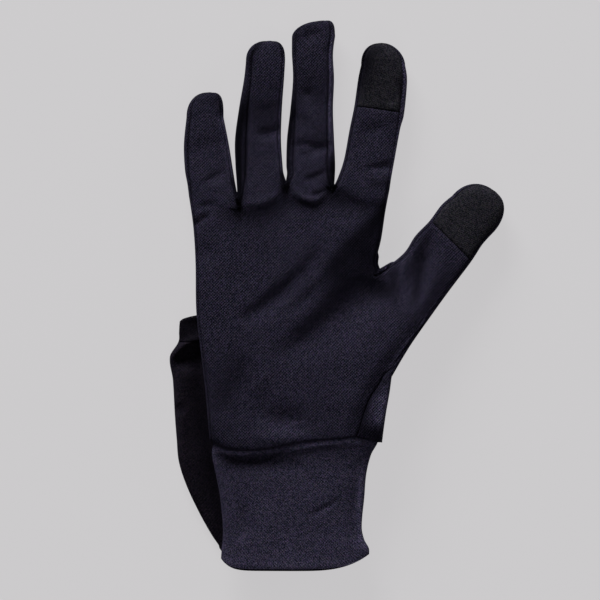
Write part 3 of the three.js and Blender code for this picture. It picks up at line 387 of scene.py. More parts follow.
# Painted shade and light, in the same columns: shade in the hollows, creases, gaps and below the finger
# bases, light on slopes that would face the lamp, and some dark seam lines. The height is the share by which
# the cloth is painted darker, and below 0 it is painted lighter.
palmPaintedShading = {
    # The deep hollow beside the thumb
    "web": [
        (22.4, 39.4, 0.5, 3, 3), (17.4, 34.6, 0.78, 6, 3), (11, 28.6, 0.82, 11, 3.4),
        (4.6, 22, 0.8, 16, 4), (-0.4, 14.6, 0.72, 19, 5), (-1.4, 5.6, 0.62, 17, 5),
        (-4.4, -2.4, 0.52, 10, 4.4), (-9.8, -9.4, 0.45, 6, 4), (-16.2, -15.4, 0.45, 5, 4),
        (-23, -22, 0.2, 4, 4), (-29, -24.6, 0, 3, 3)],
    "webCorner": [
        (19, 30, 0.05, 5, 5), (18, 20, 0.15, 6, 6), (18, 10, 0.4, 7, 6), (20, 3, 0.66, 6, 6),
        (25.6, 3, 0.66, 3.6, 3.6), (26.4, 12, 0.5, 2, 2)],
    # Palm and heel
    "heartLine": [
        (-45, -11, 0, 2, 2), (-38, -6.6, 0.16, 2.4, 2.4), (-29, 0.6, 0.2, 2.6, 2.6),
        (-21, 8, 0.16, 3, 3), (-13, 16, 0.1, 3, 3), (-8, 24, 0, 3, 3)],
    "headLine": [
        (-28, -10, 0, 2.4, 2.4), (-21, -4.4, 0.12, 2.4, 2.4), (-14.4, 1.4, 0.3, 1.5, 1.5),
        (-8.6, 7, 0.26, 1.4, 1.4), (-3, 13, 0, 1.6, 1.6)],
    "edgeShade": [
        (38, -12, 0, 8, 3), (28, -24, 0.3, 10, 3), (20, -36, 0.32, 12, 3), (11, -50, 0.3, 12, 3),
        (6, -62, 0.16, 10, 3)],
    "heelLow": [(-62, -62, 0.3, 5, 5), (-52, -62, 0.2, 4.4, 5), (-44, -62, 0, 3, 4)],
    "heelLight": [
        (-42, -64, 0, 3, 4), (-34, -63.6, -0.26, 3.4, 5), (-24, -63.8, -0.36, 3.4, 5),
        (-16, -64.6, -0.26, 3, 4), (-11.6, -66, 0, 2.6, 3)],
    # All of the fingers, then their tips
    "fingers": [(-72, 92, 0.14, 60, 42), (36, 92, 0.14, 60, 42)],
    "indexTip": [
        (9.4, 88, 0, 5, 3), (10.6, 94, 0.4, 5, 4.4), (11.6, 102, 0.8, 5, 5.4), (13, 110, 0.8, 5, 5.4),
        (17, 116, 0.4, 4, 5), (23, 118, 0.15, 3, 4), (28, 115, 0, 3, 3)],
    # Painted glint where the touch tip's silver specks catch the light
    "tipSpecks": [
        (21.6, 89.4, 0, 1.4, 1.4), (25, 89.4, -0.9, 1.6, 1.6), (28, 90.4, -0.5, 1.5, 1.5),
        (28.4, 97, -0.2, 1, 1)],
    "indexLow": [(12.6, 50.6, 0, 1.6, 2), (18, 51.6, 0.5, 1.8, 2), (23.4, 52.6, 0.4, 1.8, 2)],
    "indexDent": [(29.4, 103, 0.1, 0.8, 0.8), (29.6, 98, 0.6, 0.8, 0.8), (30, 92, 0.5, 0.8, 0.8)],
    "littleTipShade": [
        (-70.4, 80, 0, 2, 3), (-68, 89, 0.18, 2, 4), (-61, 94.6, 0.36, 2, 4.6),
        (-55.4, 91.6, 0.3, 2, 4), (-53, 84, 0, 2, 3)],
    "ringTipShade": [
        (-41.8, 104, 0.1, 1, 2.6), (-39.6, 113, 0.34, 2, 2.4), (-36, 117.8, 0.34, 2, 2.6),
        (-31, 119.4, 0.2, 2, 3), (-26.4, 116.6, 0.2, 2, 3), (-25, 110, 0, 1, 2)],
    "middleTipShade": [
        (-20.6, 116, 0.1, 1, 2.4), (-18.4, 122.4, 0.4, 2, 2.8), (-13.4, 125.4, 0.45, 2.2, 2.8),
        (-8, 127.4, 0.3, 2, 3.4), (-2.6, 125.6, 0.2, 2, 3)],
    # Seams and gaps beside the fingers
    "ringTipSeam": [
        (-41.4, 98, 0.1, 0.8, 0.9), (-40.9, 108, 0.35, 0.8, 0.9), (-39.2, 114, 0.5, 0.9, 1),
        (-36, 117.2, 0.3, 0.9, 1)],
    "ringGap": [
        (-45, 39, 0.8, 3, 1.2), (-45.4, 48, 0.92, 3, 1.4), (-46.3, 60, 0.95, 3, 2),
        (-46.6, 73, 0.95, 3, 2.2), (-45.2, 83, 0.9, 3, 2), (-43.6, 91, 0.4, 2, 1.6),
        (-42.6, 100, 0.1, 1.4, 1.4)],
    "ringSeam": [
        (-42.6, 44, 0.3, 0.8, 0.8), (-42.7, 60, 0.45, 0.8, 0.8), (-42.5, 76, 0.45, 0.8, 0.8),
        (-41.8, 90, 0.4, 0.8, 0.8), (-41.4, 98, 0.2, 0.8, 0.8)],
    "ringCrotch": [(-25.4, 58, 0, 1.4, 1.4), (-25, 54, 0.7, 1.6, 1.6), (-24, 49.4, 0.95, 1.8, 1.8)],
    "middleGap": [
        (-23.2, 49, 0.9, 3, 1.2), (-23.6, 57, 0.85, 3, 1.4), (-23.3, 66, 0.5, 3, 1.2),
        (-22.9, 74, 0.9, 3, 1.6), (-21.9, 83, 0.9, 3, 1.6), (-20.6, 92, 0.3, 3, 1.2),
        (-20, 100, 0.1, 3, 1.2)],
    "middleCrotch": [(-1.6, 68, 0.3, 1.6, 3), (-1.6, 61, 0.95, 1.8, 3), (-2.4, 51, 0.98, 2.2, 3)],
    # Along the fingers
    "middleBright": [(-14.6, 78, 0, 4, 4), (-13.4, 83, -0.28, 4.6, 4.6), (-12, 89, -0.2, 4, 4)],
    "middleSpot": [(-17, 93.4, 0.1, 2, 2), (-13, 94, 0.35, 2.2, 2.6), (-8, 91.4, 0.2, 2.2, 2.6)],
    "littleSeam": [
        (-68.4, 48, 0.2, 0.6, 0.6), (-69.6, 58, 0.5, 0.6, 0.6), (-70, 70, 0.5, 0.6, 0.6),
        (-69, 82, 0.4, 0.6, 0.6), (-67, 89, 0, 0.6, 0.6)],
    "ringBand": [(-41, 84, 0.3, 7, 5.4), (-34, 85, 0.5, 8, 6), (-26, 87, 0.4, 8, 6)],
    "shortShade": [(-17, 66.8, 0.1, 1, 1), (-12.6, 67.6, 0.4, 1.1, 1.1), (-8, 69.2, 0.3, 1, 1)],
    "knuckleShade": [
        (-16.6, 54.4, 0, 1.4, 1.4), (-13, 55.6, 0.4, 1.5, 1.5), (-9, 57.2, 0.5, 1.4, 1.4),
        (-5.6, 59.2, 0.1, 1.2, 1.2)],
    "lowShade": [(-12.6, 47.6, 0.1, 1, 1), (-8.6, 48.4, 0.4, 1.1, 1.1), (-5, 49.8, 0.3, 1, 1)],
    "indexShade": [(13, 60.4, 0, 1, 1), (18, 61.4, 0.3, 1.1, 1.1), (25.6, 62.6, 0.4, 1.2, 1.2)],
    "littleBand": [(-70, 70, 0.1, 4, 4), (-61, 71, 0.14, 4.4, 4), (-52, 74, 0.05, 4, 4)],
    "middleBand": [(-20, 101, 0.2, 6, 6), (-12, 101, 0.26, 8, 7), (-4, 101, 0.1, 6, 6)],
    "middlePatch": [(-19, 74.6, 0.1, 4, 3), (-12, 73.8, 0.3, 4, 3), (-4, 74.6, 0.2, 4, 3)],
    # Finger bases and the heel
    "baseShade": [
        (-57, 36, 0.05, 3, 6), (-51, 37.4, 0.4, 3, 8), (-43, 38.2, 0.6, 2.6, 8),
        (-35, 38.4, 0.58, 2.6, 7), (-28, 42.6, 0.5, 2.6, 6), (-23, 46.2, 0.5, 2.6, 6),
        (-18, 43.2, 0.5, 2, 4), (-12.6, 41.4, 0.46, 2, 3.4), (-7, 43, 0.4, 2, 4),
        (-2, 47, 0.44, 2.4, 6)],
    "indexBaseShade": [
        (-3, 47.4, 0.34, 3, 4), (3, 45, 0.44, 3.4, 5), (10, 42, 0.42, 3.4, 5), (21, 41, 0.34, 3.4, 5)],
    "heelPatch": [
        (-42, -24, 0, 7, 7), (-48, -34, 0.3, 9, 9), (-52, -44, 0.38, 10, 10), (-50, -54, 0.26, 10, 9),
        (-44, -60, 0, 8, 8)],
    "heelSpot": [
        (-36, -52, 0, 3, 3), (-29, -54, 0.26, 4, 3), (-21, -54.4, 0.16, 4, 3), (-14, -55, 0, 3, 3)],
    # Thumb, and the facet where the back of the hand wraps round the wrist
    "thumbShade": [
        (43.4, 31, 0.25, 3, 4), (40.8, 20, 0.5, 3, 4), (38.8, 10, 0.62, 2.4, 3.6),
        (37.4, 2, 0.62, 2, 3), (36, -4, 0.4, 2, 2.6), (34.8, -9, 0, 2, 2)],
    "thumbLight": [
        (34, 18, 0, 2.6, 2.6), (32, 9, -0.3, 2.6, 2.6), (31, 1, -0.3, 2.6, 2.6), (29, -6, 0, 3, 3)],
    "wrapFacet": [
        (25, -40, -0.5, 3, 3), (21.6, -50, -1.9, 4, 4), (19.8, -57, -1.5, 4, 3.4),
        (18, -61.6, 0, 3, 3)],
    "wrapSeam": [
        (24.4, -36, 0.3, 1.4, 1.2), (19.6, -43, 0.5, 1.6, 1.2), (15.2, -49.6, 0.5, 1.8, 1.2),
        (11.6, -57.4, 0.5, 1.8, 1.2), (9.4, -64.6, 0.4, 1.6, 1.2)],
    "wrapFoot": [(10, -61, 0.3, 3, 5), (14, -63, 0.6, 3.6, 4), (20, -66, 0.6, 3.6, 4)],
}
# Painted light on the right flanks of the fingers above a height, as if four caught the light past the gaps;
# the thumb's gets a little painted shade
flankPaintedLight = table("finger tone above", [
    ("little", -2.4, 58),
    ("ring", -2.4, 58),
    ("middle", -3.4, 68),
    ("index", -2.4, 40),
    ("thumb", 0.2, -40),
])
flankReach = {"left": 1.7, "right": 0.5}
for row in flankPaintedLight:
    palmPaintedShading[row["finger"] + "Flank"] = [
        (section["rightX"], section["rightY"], row["tone"] if section["rightY"] > row["above"] else 0,
         flankReach["left"], flankReach["right"]) for section in fingers[row["finger"]]["sections"][1:]]
foldFade = 3.0  # folds die out where the cloth rises less than this above the side edge
foldSteps = 6  # between two rows
foldSpan = 2.6  # a fold is left out past this many times its widest reach
paintedShadingLimits = (-3, 0.92)  # least and most


# How far a set of folds lifts or sinks each place. Each fold counts where it is nearest.
def foldLift(xy, folds):
    total = np.zeros(len(xy))
    for rows in folds.values():
        path = curveAt(rows, np.linspace(0, 1, foldSteps * (len(rows) - 1) + 1))
        reach = foldSpan * path[:, 3:5].max()
        near = np.all((xy > path[:, :2].min(0) - reach) & (xy < path[:, :2].max(0) + reach), axis=1)
        spots = xy[near]
        best = np.full(len(spots), np.inf)
        lift = np.zeros(len(spots))
        for a, b in zip(path[:-1], path[1:]):
            run = b[:2] - a[:2]
            t = np.clip(((spots - a[:2]) @ run) / (run @ run), 0, 1)
            away = spots - (a[:2] + t[:, None] * run)
            distance = np.hypot(away[:, 0], away[:, 1])
            onLeft = run[0] * away[:, 1] - run[1] * away[:, 0] > 0
            height, left, right = [mix(a[k], b[k], t) for k in (2, 3, 4)]
            here = height * bell(distance, np.where(onLeft, left, right))
            closer = distance < best
            best = np.where(closer, distance, best)
            lift = np.where(closer, here, lift)
        total[near] += lift
    return total


# How bright a set of painted shade and light strokes leaves each place, where it is on
def paintedBrightness(points, paintedShading, on, limits=paintedShadingLimits):
    return 1 - np.clip(foldLift(points[:, :2], paintedShading), *limits) * on


# Places across a panel, closer together near its seams
def across(count):
    even = np.arange(count + 1) / count
    return mix(even, (1 - np.cos(np.pi * even)) / 2, handSteps["seamCrowding"])


# The same for a side strip, from the edge of the hand to its seam
evenPlaces = np.arange(handSteps["stripColumns"] + 1) / handSteps["stripColumns"]
atEdge, atSeam = handSteps["stripCrowding"]
stripPlaces = 1 - (1 - evenPlaces ** atEdge) ** atSeam


def stepsOf(name, way):
    return handSteps[("thumb" if name == "thumb" else "finger") + way]


# Four marks across a finger: its left edge, its two seams and its right edge
def marks(section, side):
    left = np.array([section["leftX"], section["leftY"]])
    right = np.array([section["rightX"], section["rightY"]])
    width = np.linalg.norm(right - left)
    leftSeam, rightSeam = hand["sideSeam"], hand["sideSeam"]
    if side == "front":
        leftSeam, rightSeam = section["leftSeam"], section["rightSeam"]
    return np.array([left, mix(left, right, leftSeam / width), mix(right, left, rightSeam / width), right])


# The marks at the base. The seams pass below each crotch, so that the side strips turn round it.
def baseMarks(name, side):
    row = marks(fingers[name]["sections"][0], side)
    at = fingerOrder.index(name) if name in fingerOrder else None
    if at:
        row[1] = row[0] + webBelow[side][at - 1]
    if at is not None and at < len(webBelow[side]):
        row[2] = row[3] + webBelow[side][at]
    if name == "thumb":
        row[1] = row[0] - np.array(thumbWeb)
    return row


# Rows of marks from the base of a finger to the last one before its tip
def fingerMarks(name, side):
    sections, tip = fingers[name]["sections"], fingers[name]["tip"]
    rows = np.array([baseMarks(name, side)] + [marks(section, side) for section in sections[1:]])
    steps = stepsOf(name, "Rows")
    t = (np.arange(steps + 1) / steps) ** handSteps["baseCrowding"]
    body = np.stack([curveAt(rows[:, k], t) for k in range(4)], axis=1)
    left, leftSeam, rightSeam, right = body[-1]
    end = np.array([tip["x"], tip["y"]])
    chord = right - left
    foot = left + chord * ((end - left) @ chord) / (chord @ chord)
    tipRows = []
    for i in range(1, handSteps["tipRows"]):
        s = math.sin(math.pi / 2 * i / handSteps["tipRows"])
        shrinks = [superRound(s, tip[side + "Power"]) for side in ("left", "left", "right", "right")]
        tipRows.append([foot + (mark - foot) * k + (end - foot) * s
                        for mark, k in zip((left, leftSeam, rightSeam, right), shrinks)])
    return np.concatenate([body, np.array(tipRows)]), end


# Points of one row of a finger, from its left edge to its right edge
def spread(row, columns):
    left, leftSeam, rightSeam, right = row
    inner = stripPlaces[:-1, None]
    return np.concatenate([left + (leftSeam - left) * inner,
                           leftSeam + (rightSeam - leftSeam) * across(columns)[:, None],
                           (right + (rightSeam - right) * inner)[::-1]])


# One side of the glove as a flat mesh that knows which piece each cell belongs to
class Sheet:
    def __init__(self, side):
        self.side = side
        self.xy = []
        self.rest = []
        self.onEdge = []
        self.index = {}
        self.cells = []
        self.pieces = []
        self.grids = {}
        self.strips = []

    def add(self, x, y, rest, onEdge):
        key = (round(x * 1000), round(y * 1000))
        if key not in self.index:
            self.index[key] = len(self.xy)
            self.xy.append((x, y))
            self.rest.append(rest)
            self.onEdge.append(onEdge)
        return self.index[key]

    def addGrid(self, grid, rest, onEdge):
        return np.array([[self.add(*grid[i][j], rest[i][j], onEdge[j]) for j in range(len(grid[i]))]
                         for i in range(len(grid))])

    def cell(self, corners, piece):
        self.cells.append(corners)
        self.pieces.append(piece)


# Painted shade on the side strips down in the gaps between the fingers, below the height top: near the seam,
# and out at the edge. Below 0 it is painted light.
gapPaintedShade = table("finger side top rim outer", [
    ("little", "right", 54, 0.2, 0.5),
    ("ring", "left", 92, 0.3, 0.95),
    ("ring", "right", 60, 0.2, 0.6),
    ("middle", "left", 92, 0.2, 0.7),
    ("middle", "right", 126, -0.45, 0.1),
    ("index", "left", 60, 0.2, 0.5),
])
gapFade = {"over": 10, "outerFrom": 0.3, "outerOver": 0.3}
sidePieces = {
    "little": ("back_panel", "fourchette_little_ring"),
    "ring": ("fourchette_little_ring", "fourchette_ring_middle"),
    "middle": ("fourchette_ring_middle", "fourchette_middle_index"),
    "index": ("fourchette_middle_index", "back_panel"),
    "thumb": ("back_panel", "back_panel"),
}


# The row of a finger where its touch tip starts
def touchRow(name):
    if "touchFrom" not in fingers[name]:
        return None
    share = fingers[name]["touchFrom"] / (len(fingers[name]["sections"]) - 1)
    return round(share ** (1 / handSteps["baseCrowding"]) * stepsOf(name, "Rows"))


# The piece that covers one cell of a finger
def fingerPiece(name, side, row, place, touch):
    strips = handSteps["stripColumns"]
    if place < strips:
        return sidePieces[name][0]
    if place >= strips + stepsOf(name, "Columns"):
        return sidePieces[name][1]
    if side == "back":
        return "back_panel"
    if touch is not None and row >= touch:
        return name + "_touch_tip"
    return "palm_panel"


def addFinger(sheet, name):
    rows, end = fingerMarks(name, sheet.side)
    grid = np.array([spread(row, stepsOf(name, "Columns")) for row in rows])
    count = grid.shape[1]
    rest = readTable(sideHeights, "y", grid[:, :, 1], "z")
    endRest = float(readTable(sideHeights, "y", end[1], "z"))
    if name == "thumb":
        drop = smooth(np.arange(len(rows)) / (len(rows) - 2) * hand["thumbSettle"])[:, None]
        rest = mix(rest[0][None, :], hand["thumbRest"], drop)
        endRest = hand["thumbRest"]
    onEdge = [j in (0, count - 1) for j in range(count)]
    ids = sheet.addGrid(grid, rest, onEdge)
    sheet.grids[name] = ids
    touch = touchRow(name)
    for i in range(len(ids) - 1):
        for j in range(count - 1):
            sheet.cell((ids[i, j], ids[i, j + 1], ids[i + 1, j + 1], ids[i + 1, j]),
                       fingerPiece(name, sheet.side, i, j, touch))
    pole = sheet.add(*end, endRest, True)
    for j in range(count - 1):
        sheet.cell((ids[-1, j], ids[-1, j + 1], pole, -1), fingerPiece(name, sheet.side, len(ids), j, touch))


# Where the glove's body ends above the cuff
wristCurve = spacedAlong(wristLine, 200)


def wristY(x):
    return np.interp(x, wristCurve[:, 0], wristCurve[:, 1])


# The palm fills the space between the finger bases, the two sides and the wrist
def addPalm(sheet):
    strips = handSteps["stripColumns"]
    rowsAbove, rowsBelow = handSteps["aboveThumb"], handSteps["belowThumb"]
    rowsBeside = stepsOf("thumb", "Columns")
    rowCount = rowsAbove + rowsBeside + rowsBelow
    top = []
    for name in fingerOrder:
        row = spread(baseMarks(name, sheet.side), stepsOf(name, "Columns"))[strips:-strips]
        top.extend(row if not top else row[1:])
    top = np.array(top)
    columnCount = len(top) - 1
    beside = spread(baseMarks("thumb", sheet.side), rowsBeside)[strips:-strips]

    inward = np.array([hand["sideSeam"], 0])
    leftEdge = spacedAlong(littleSide, rowCount)
    left = leftEdge + inward
    left[0] = top[0]
    upperEdge = spacedAlong(indexSide, rowsAbove)
    upper = upperEdge - inward
    upper[0] = top[-1]
    upper[-1] = beside[0]
    lowerEdge = spacedAlong(wristSide, rowsBelow)
    wrap = spacedAlong(wristWrap, rowsBelow) if sheet.side == "front" else lowerEdge - inward
    wrap[0] = beside[-1]
    right = np.concatenate([upper[:-1], beside, wrap[1:]])
    left[-1, 1] = wristY(left[-1, 0])
    right[-1, 1] = wristY(right[-1, 0])
    wrap[-1] = right[-1]
    bottomX = mix(left[-1, 0], right[-1, 0], np.arange(columnCount + 1) / columnCount)
    bottom = np.stack([bottomX, wristY(bottomX)], axis=1)

    # Blend of the four sides
    u = (np.arange(columnCount + 1) / columnCount)[None, :, None]
    v = (np.arange(rowCount + 1) / rowCount)[:, None, None]
    corners = mix(mix(top[0], top[-1], u), mix(bottom[0], bottom[-1], u), v)
    grid = mix(left[:, None], right[:, None], u) + mix(top[None], bottom[None], v) - corners
    grid[:, 0], grid[:, -1] = left, right
    grid[0], grid[-1] = top, bottom

    ids = sheet.addGrid(grid, readTable(sideHeights, "y", grid[:, :, 1], "z"), [False] * (columnCount + 1))
    sheet.grids["palm"] = ids
    piece = "palm_panel" if sheet.side == "front" else "back_panel"
    for i in range(rowCount):
        for j in range(columnCount):
            sheet.cell((ids[i, j], ids[i + 1, j], ids[i + 1, j + 1], ids[i, j + 1]), piece)

    # Side strips, which belong to the back of the hand
    for edge, seam, flip in ((leftEdge, left, False), (upperEdge, upper, True), (lowerEdge, wrap, True)):
        strip = edge[:, None] + (seam - edge)[:, None] * stripPlaces[None, :, None]
        stripRest = readTable(sideHeights, "y", strip[:, :, 1], "z")
        rows = sheet.addGrid(strip, stripRest, [k == 0 for k in range(strips + 1)])
        sheet.strips.append(rows)
        for i in range(len(rows) - 1):
            for k in range(strips):
                corners = (rows[i, k], rows[i + 1, k], rows[i + 1, k + 1], rows[i, k + 1])
                sheet.cell(corners[::-1] if flip else corners, "back_panel")


# Cells split into triangles
def trianglesOf(cells):
    quads = cells[cells[:, 3] >= 0]
    return np.concatenate([cells[:, :3], quads[:, [0, 2, 3]]])


# Limits of the search for the membrane's height
filmSolver = {"leastArea": 1e-7, "leastWeight": 1e-6, "closeness": 1e-12, "mostSteps": 3000}


# Height of a membrane over the sheet, held at its edge and free at the wrist
def membrane(xy, cells, onEdge):
    triangles = trianglesOf(cells)
    size = len(xy)
    free = ~onEdge
    heads, tails, weights = [], [], []
    load = np.zeros(size)
    for k in range(3):
        a, b, c = triangles[:, k], triangles[:, (k + 1) % 3], triangles[:, (k + 2) % 3]
        u, v = xy[a] - xy[c], xy[b] - xy[c]
        area = np.abs(u[:, 0] * v[:, 1] - u[:, 1] * v[:, 0])
        weight = (u * v).sum(1) / np.maximum(area, filmSolver["leastArea"]) / 2
        heads += [a, b]
        tails += [b, a]
        weights += [weight, weight]
        load += np.bincount(c, area / 6, size)
    heads, tails, weights = np.concatenate(heads), np.concatenate(tails), np.concatenate(weights)
    keep = free[heads]
    heads, tails, weights = heads[keep], tails[keep], weights[keep]
    diagonal = np.maximum(np.bincount(heads, weights, size), filmSolver["leastWeight"])
    inner = weights * free[tails]
    height = np.zeros(size)
    residual = np.where(free, load, 0)
    eased = residual / diagonal
    direction = eased.copy()
    energy = start = residual @ eased
    step = 0
    while energy > start * filmSolver["closeness"] and step < filmSolver["mostSteps"]:
        image = diagonal * direction - np.bincount(heads, inner * direction[tails], size)
        image[onEdge] = 0
        length = energy / (direction @ image)
        height += length * direction
        residual = residual - length * image
        eased = residual / diagonal
        following = residual @ eased
        direction = eased + following / energy * direction
        energy = following
        step += 1
    return height


# Rounds the membrane over at the edge, so that the cloth leaves it steeply
def rise(film):
    film = np.maximum(film, 0)
    return np.sqrt(hand["loftSlope"] ** 2 * film / (1 + film / hand["loftLimit"]))


# Cuff, read across from its hidden top inside the wrist to the fold at its mouth

cuff = {
    "wall": 2.6,  # two layers of rib with a fold at the mouth
    "shape": 2.4,  # 2 is an ellipse, more is squarer
    "corners": {"left": (5, 9), "right": (7, 3.7)},  # how far the mouth's corners rise, and how late
    "around": 130,
    "along": 96,
    "turn": 10,  # steps round the fold at the mouth
    "sideFade": 3,  # how quickly folds and swells take hold above the side edges
    "swell": 0.3,
    "swellSize": 14,
}
cuffColumns = ["y", "left", "right", "low", "high"]
cuffSections = table(" ".join(cuffColumns), [
    (-61.5, -57.8, 18.9, 10.0, 20.8),
    (-68.5, -57.8, 18.9, 10.0, 20.8),
    (-74.5, -58.5, 15.8, 9.6, 20.6),
    (-83.5, -56.8, 13.6, 8.0, 19.9),
    (-94.3, -54.8, 12.7, 6.6, 18.8),
    (-108.6, -53.5, 11.5, 5.2, 17.4),
    (-114.6, -53.6, 12.7, 4.6, 17.0),
    (-119.3, -54.1, 15.0, 4.2, 16.7),
    (-128.9, -54.8, 13.6, 3.7, 16.4),
])
# Painted shade and light on the cuff, as on the palm: shade under the wrist's puff and along the mouth,
# light along the rims
cuffPaintedShading = {
    "underShade": [
        (-30, -80, 0, 3, 5), (-18, -79, 0.16, 3, 5), (-4, -77, 0.3, 3.4, 5), (8, -76, 0.34, 3.4, 5),
        (16, -76, 0.2, 3, 4)],
    "rimLight": [
        (-58.4, -71.6, -1.6, 1.4, 1.4), (-53, -73.2, -2.4, 1, 0.8), (-46, -74, -2.2, 1, 0.8),
        (-38, -73.6, -1.2, 1, 0.8), (-31, -73, -0.8, 1, 0.8), (-24, -71.8, -1.6, 1.1, 0.8),
        (-14, -69.8, -2.2, 1.1, 0.8), (-4, -68.5, -2, 1.1, 0.8), (8, -67.8, -1.4, 1.1, 0.8),
        (16, -69.4, -0.7, 1.1, 0.8)],
    "band": [
        (-57, -76, 0.2, 1.8, 4), (-50, -78.4, 0.6, 2.4, 4.4), (-42, -78.8, 0.66, 2.6, 4.8),
        (-34, -78.4, 0.6, 2.6, 4.8), (-26, -77.6, 0.4, 2.6, 4), (-16, -77, 0.16, 2.4, 3.4),
        (-8, -76, 0, 2, 3)],
    "rightLight": [
        (12, -80, -0.4, 1.6, 1.3), (11, -92, -1.3, 1.7, 1.3), (10.4, -104, -1.4, 1.7, 1.3),
        (11.6, -113, -1.1, 1.8, 1.3), (14.6, -119, -0.3, 2.2, 1.3)],
    "mouthLine": [
        (-52, -127.2, 0.5, 1.2, 2), (-44, -128.4, 0.8, 1.2, 2), (-20, -128.6, 0.9, 1.2, 2),
        (2, -127.9, 0.8, 1.2, 2), (9, -125.4, 0.4, 1.2, 2)],
    "leftShade": [
        (-46, -86, 0, 4, 4), (-44, -98, 0.1, 5, 5), (-42, -110, 0.16, 5, 5), (-40, -118, 0, 4, 4)],
}
cuffFolds = {
    "underPuff": [
        (-60, -71, -1.6, 3, 3), (-56, -72.6, -2.4, 3, 4), (-48.4, -74.5, -3, 4, 5),
        (-40, -75.2, -3, 4, 5.2), (-31, -75, -2.4, 4, 5.4), (-22, -73.6, -1.2, 4, 6),
        (-8, -71.6, -0.7, 4, 7), (7, -70.6, -0.5, 4, 7), (15, -70.6, -0.3, 4, 6)],
    "slantRidge": [
        (-37, -78.6, 0, 1.4, 1.6), (-30.3, -76.4, 1, 1.5, 1.7), (-22.6, -72.6, 1.3, 1.6, 1.8),
        (-10.3, -69.9, 1.2, 1.6, 1.8), (2.8, -68.9, 0.9, 1.6, 1.8), (12, -69.4, 0.4, 1.6, 1.8)],
    "underRidge": [
        (-27, -80.4, 0, 2.6, 4), (-19.4, -77.4, -0.4, 2.8, 4.4), (-6, -74.6, -0.2, 2.8, 4.4),
        (8, -73.6, 0, 2.8, 4.4)],
    "crease": [
        (-13.6, -103.2, 0, 1, 1.4), (-8.6, -100.4, -0.55, 1, 1.5), (-3, -97.4, -0.45, 1, 1.5),
        (1.4, -94.6, 0, 1, 1.4)],
    "rightDip": [
        (8.4, -80, 0, 2, 1.2), (7.6, -90, -0.4, 2.2, 1.3), (7.2, -104, -0.45, 2.2, 1.3),
        (8.4, -115, 0, 2, 1.3)],
    "leftDent": [
        (-45, -92, 0, 4, 4), (-44, -101, -0.8, 4.5, 4.5), (-43.4, -108, -1, 4.5, 4.5),
        (-45, -116, 0, 4, 4)],
    "hem": [(-52, -125.6, 0.2, 2, 2), (-20, -127.4, 0.3, 2, 2), (10, -125, 0.2, 2, 2)],
}


# One ring of the cuff. The rows bend with the rounded corners of the mouth.
def cuffRing(t, inset, lift):
    around = cuff["around"]
    k = np.arange(2 * around)
    u = -np.cos(np.pi * k / around)
    (leftRise, leftPower), (rightRise, rightPower) = cuff["corners"]["left"], cuff["corners"]["right"]
    mouth = cuffSections[-1]["y"] + np.where(u < 0, leftRise * np.abs(u) ** leftPower,
                                             rightRise * np.abs(u) ** rightPower)
    y = mix(cuffSections[0]["y"], mouth, t) + lift
    left, right, low, high = [readTable(cuffSections, "y", y, name) for name in cuffColumns[1:]]
    halfWidth, halfHeight = (right - left) / 2 - inset, (high - low) / 2 - inset
    up = np.where(k <= around, 1, -1)
    x = (right + left) / 2 + halfWidth * u
    z = (high + low) / 2 + halfHeight * superRound(u, cuff["shape"]) * up
    return np.stack([x, y, z], axis=1)


# Hood: a two-layer pocket sewn to the back of the hand, with its rounded end behind the cuff

hood = {
    "cloth": 1.1,
    "hemWall": 1.9,
    "shape": 3,
    "flat": 1.16,  # swells the pocket past flat, so that it lies flat under the hand
    "mouthY": -9.2,
    "hemEnd": -22,
    "dip": 3.8,  # how far the hem's ends drop
    "dipPower": 4,
    "flap": (0.25, 0.75),  # the part of the upper layer that reaches the hand
    "flapEase": 7,  # length over which the flap straightens, past the mouth
    "sideFade": 4,  # how quickly folds and swells take hold above the side edges
    "swellEase": 12,  # and over what length behind the hand
    "slack": 0.5,  # half a row
    "rimSlack": 0.3,
    "paintedShading": (-1, 0.9),  # least and most
    "across": 72,
    "rows": 110,
    "tipRows": 22,
    "swell": 0.35,
    "swellSize": 12,
}
hoodSections = table("y left right", [
    (4.5, -72, 14), (-2, -72.8, 15), (-9.2, -74.0, 16), (-15.5, -74.3, 17), (-22, -74.6, 18),
    (-29, -78.6, 18), (-40, -77.2, 17.5), (-56, -76.3, 16), (-68, -75.4, 14), (-78.5, -74.4, 12.5),
    (-90, -70.7, 10), (-103, -64.6, 4.4), (-113, -59.0, -1.6), (-118, -55.6, -6),
])
hoodTip = {"x": -30, "y": -126.6, "power": 2}
hoodHeights = table("y z", [(10, 8), (-66, 8), (-90, 6.1), (-127, 3.1)])
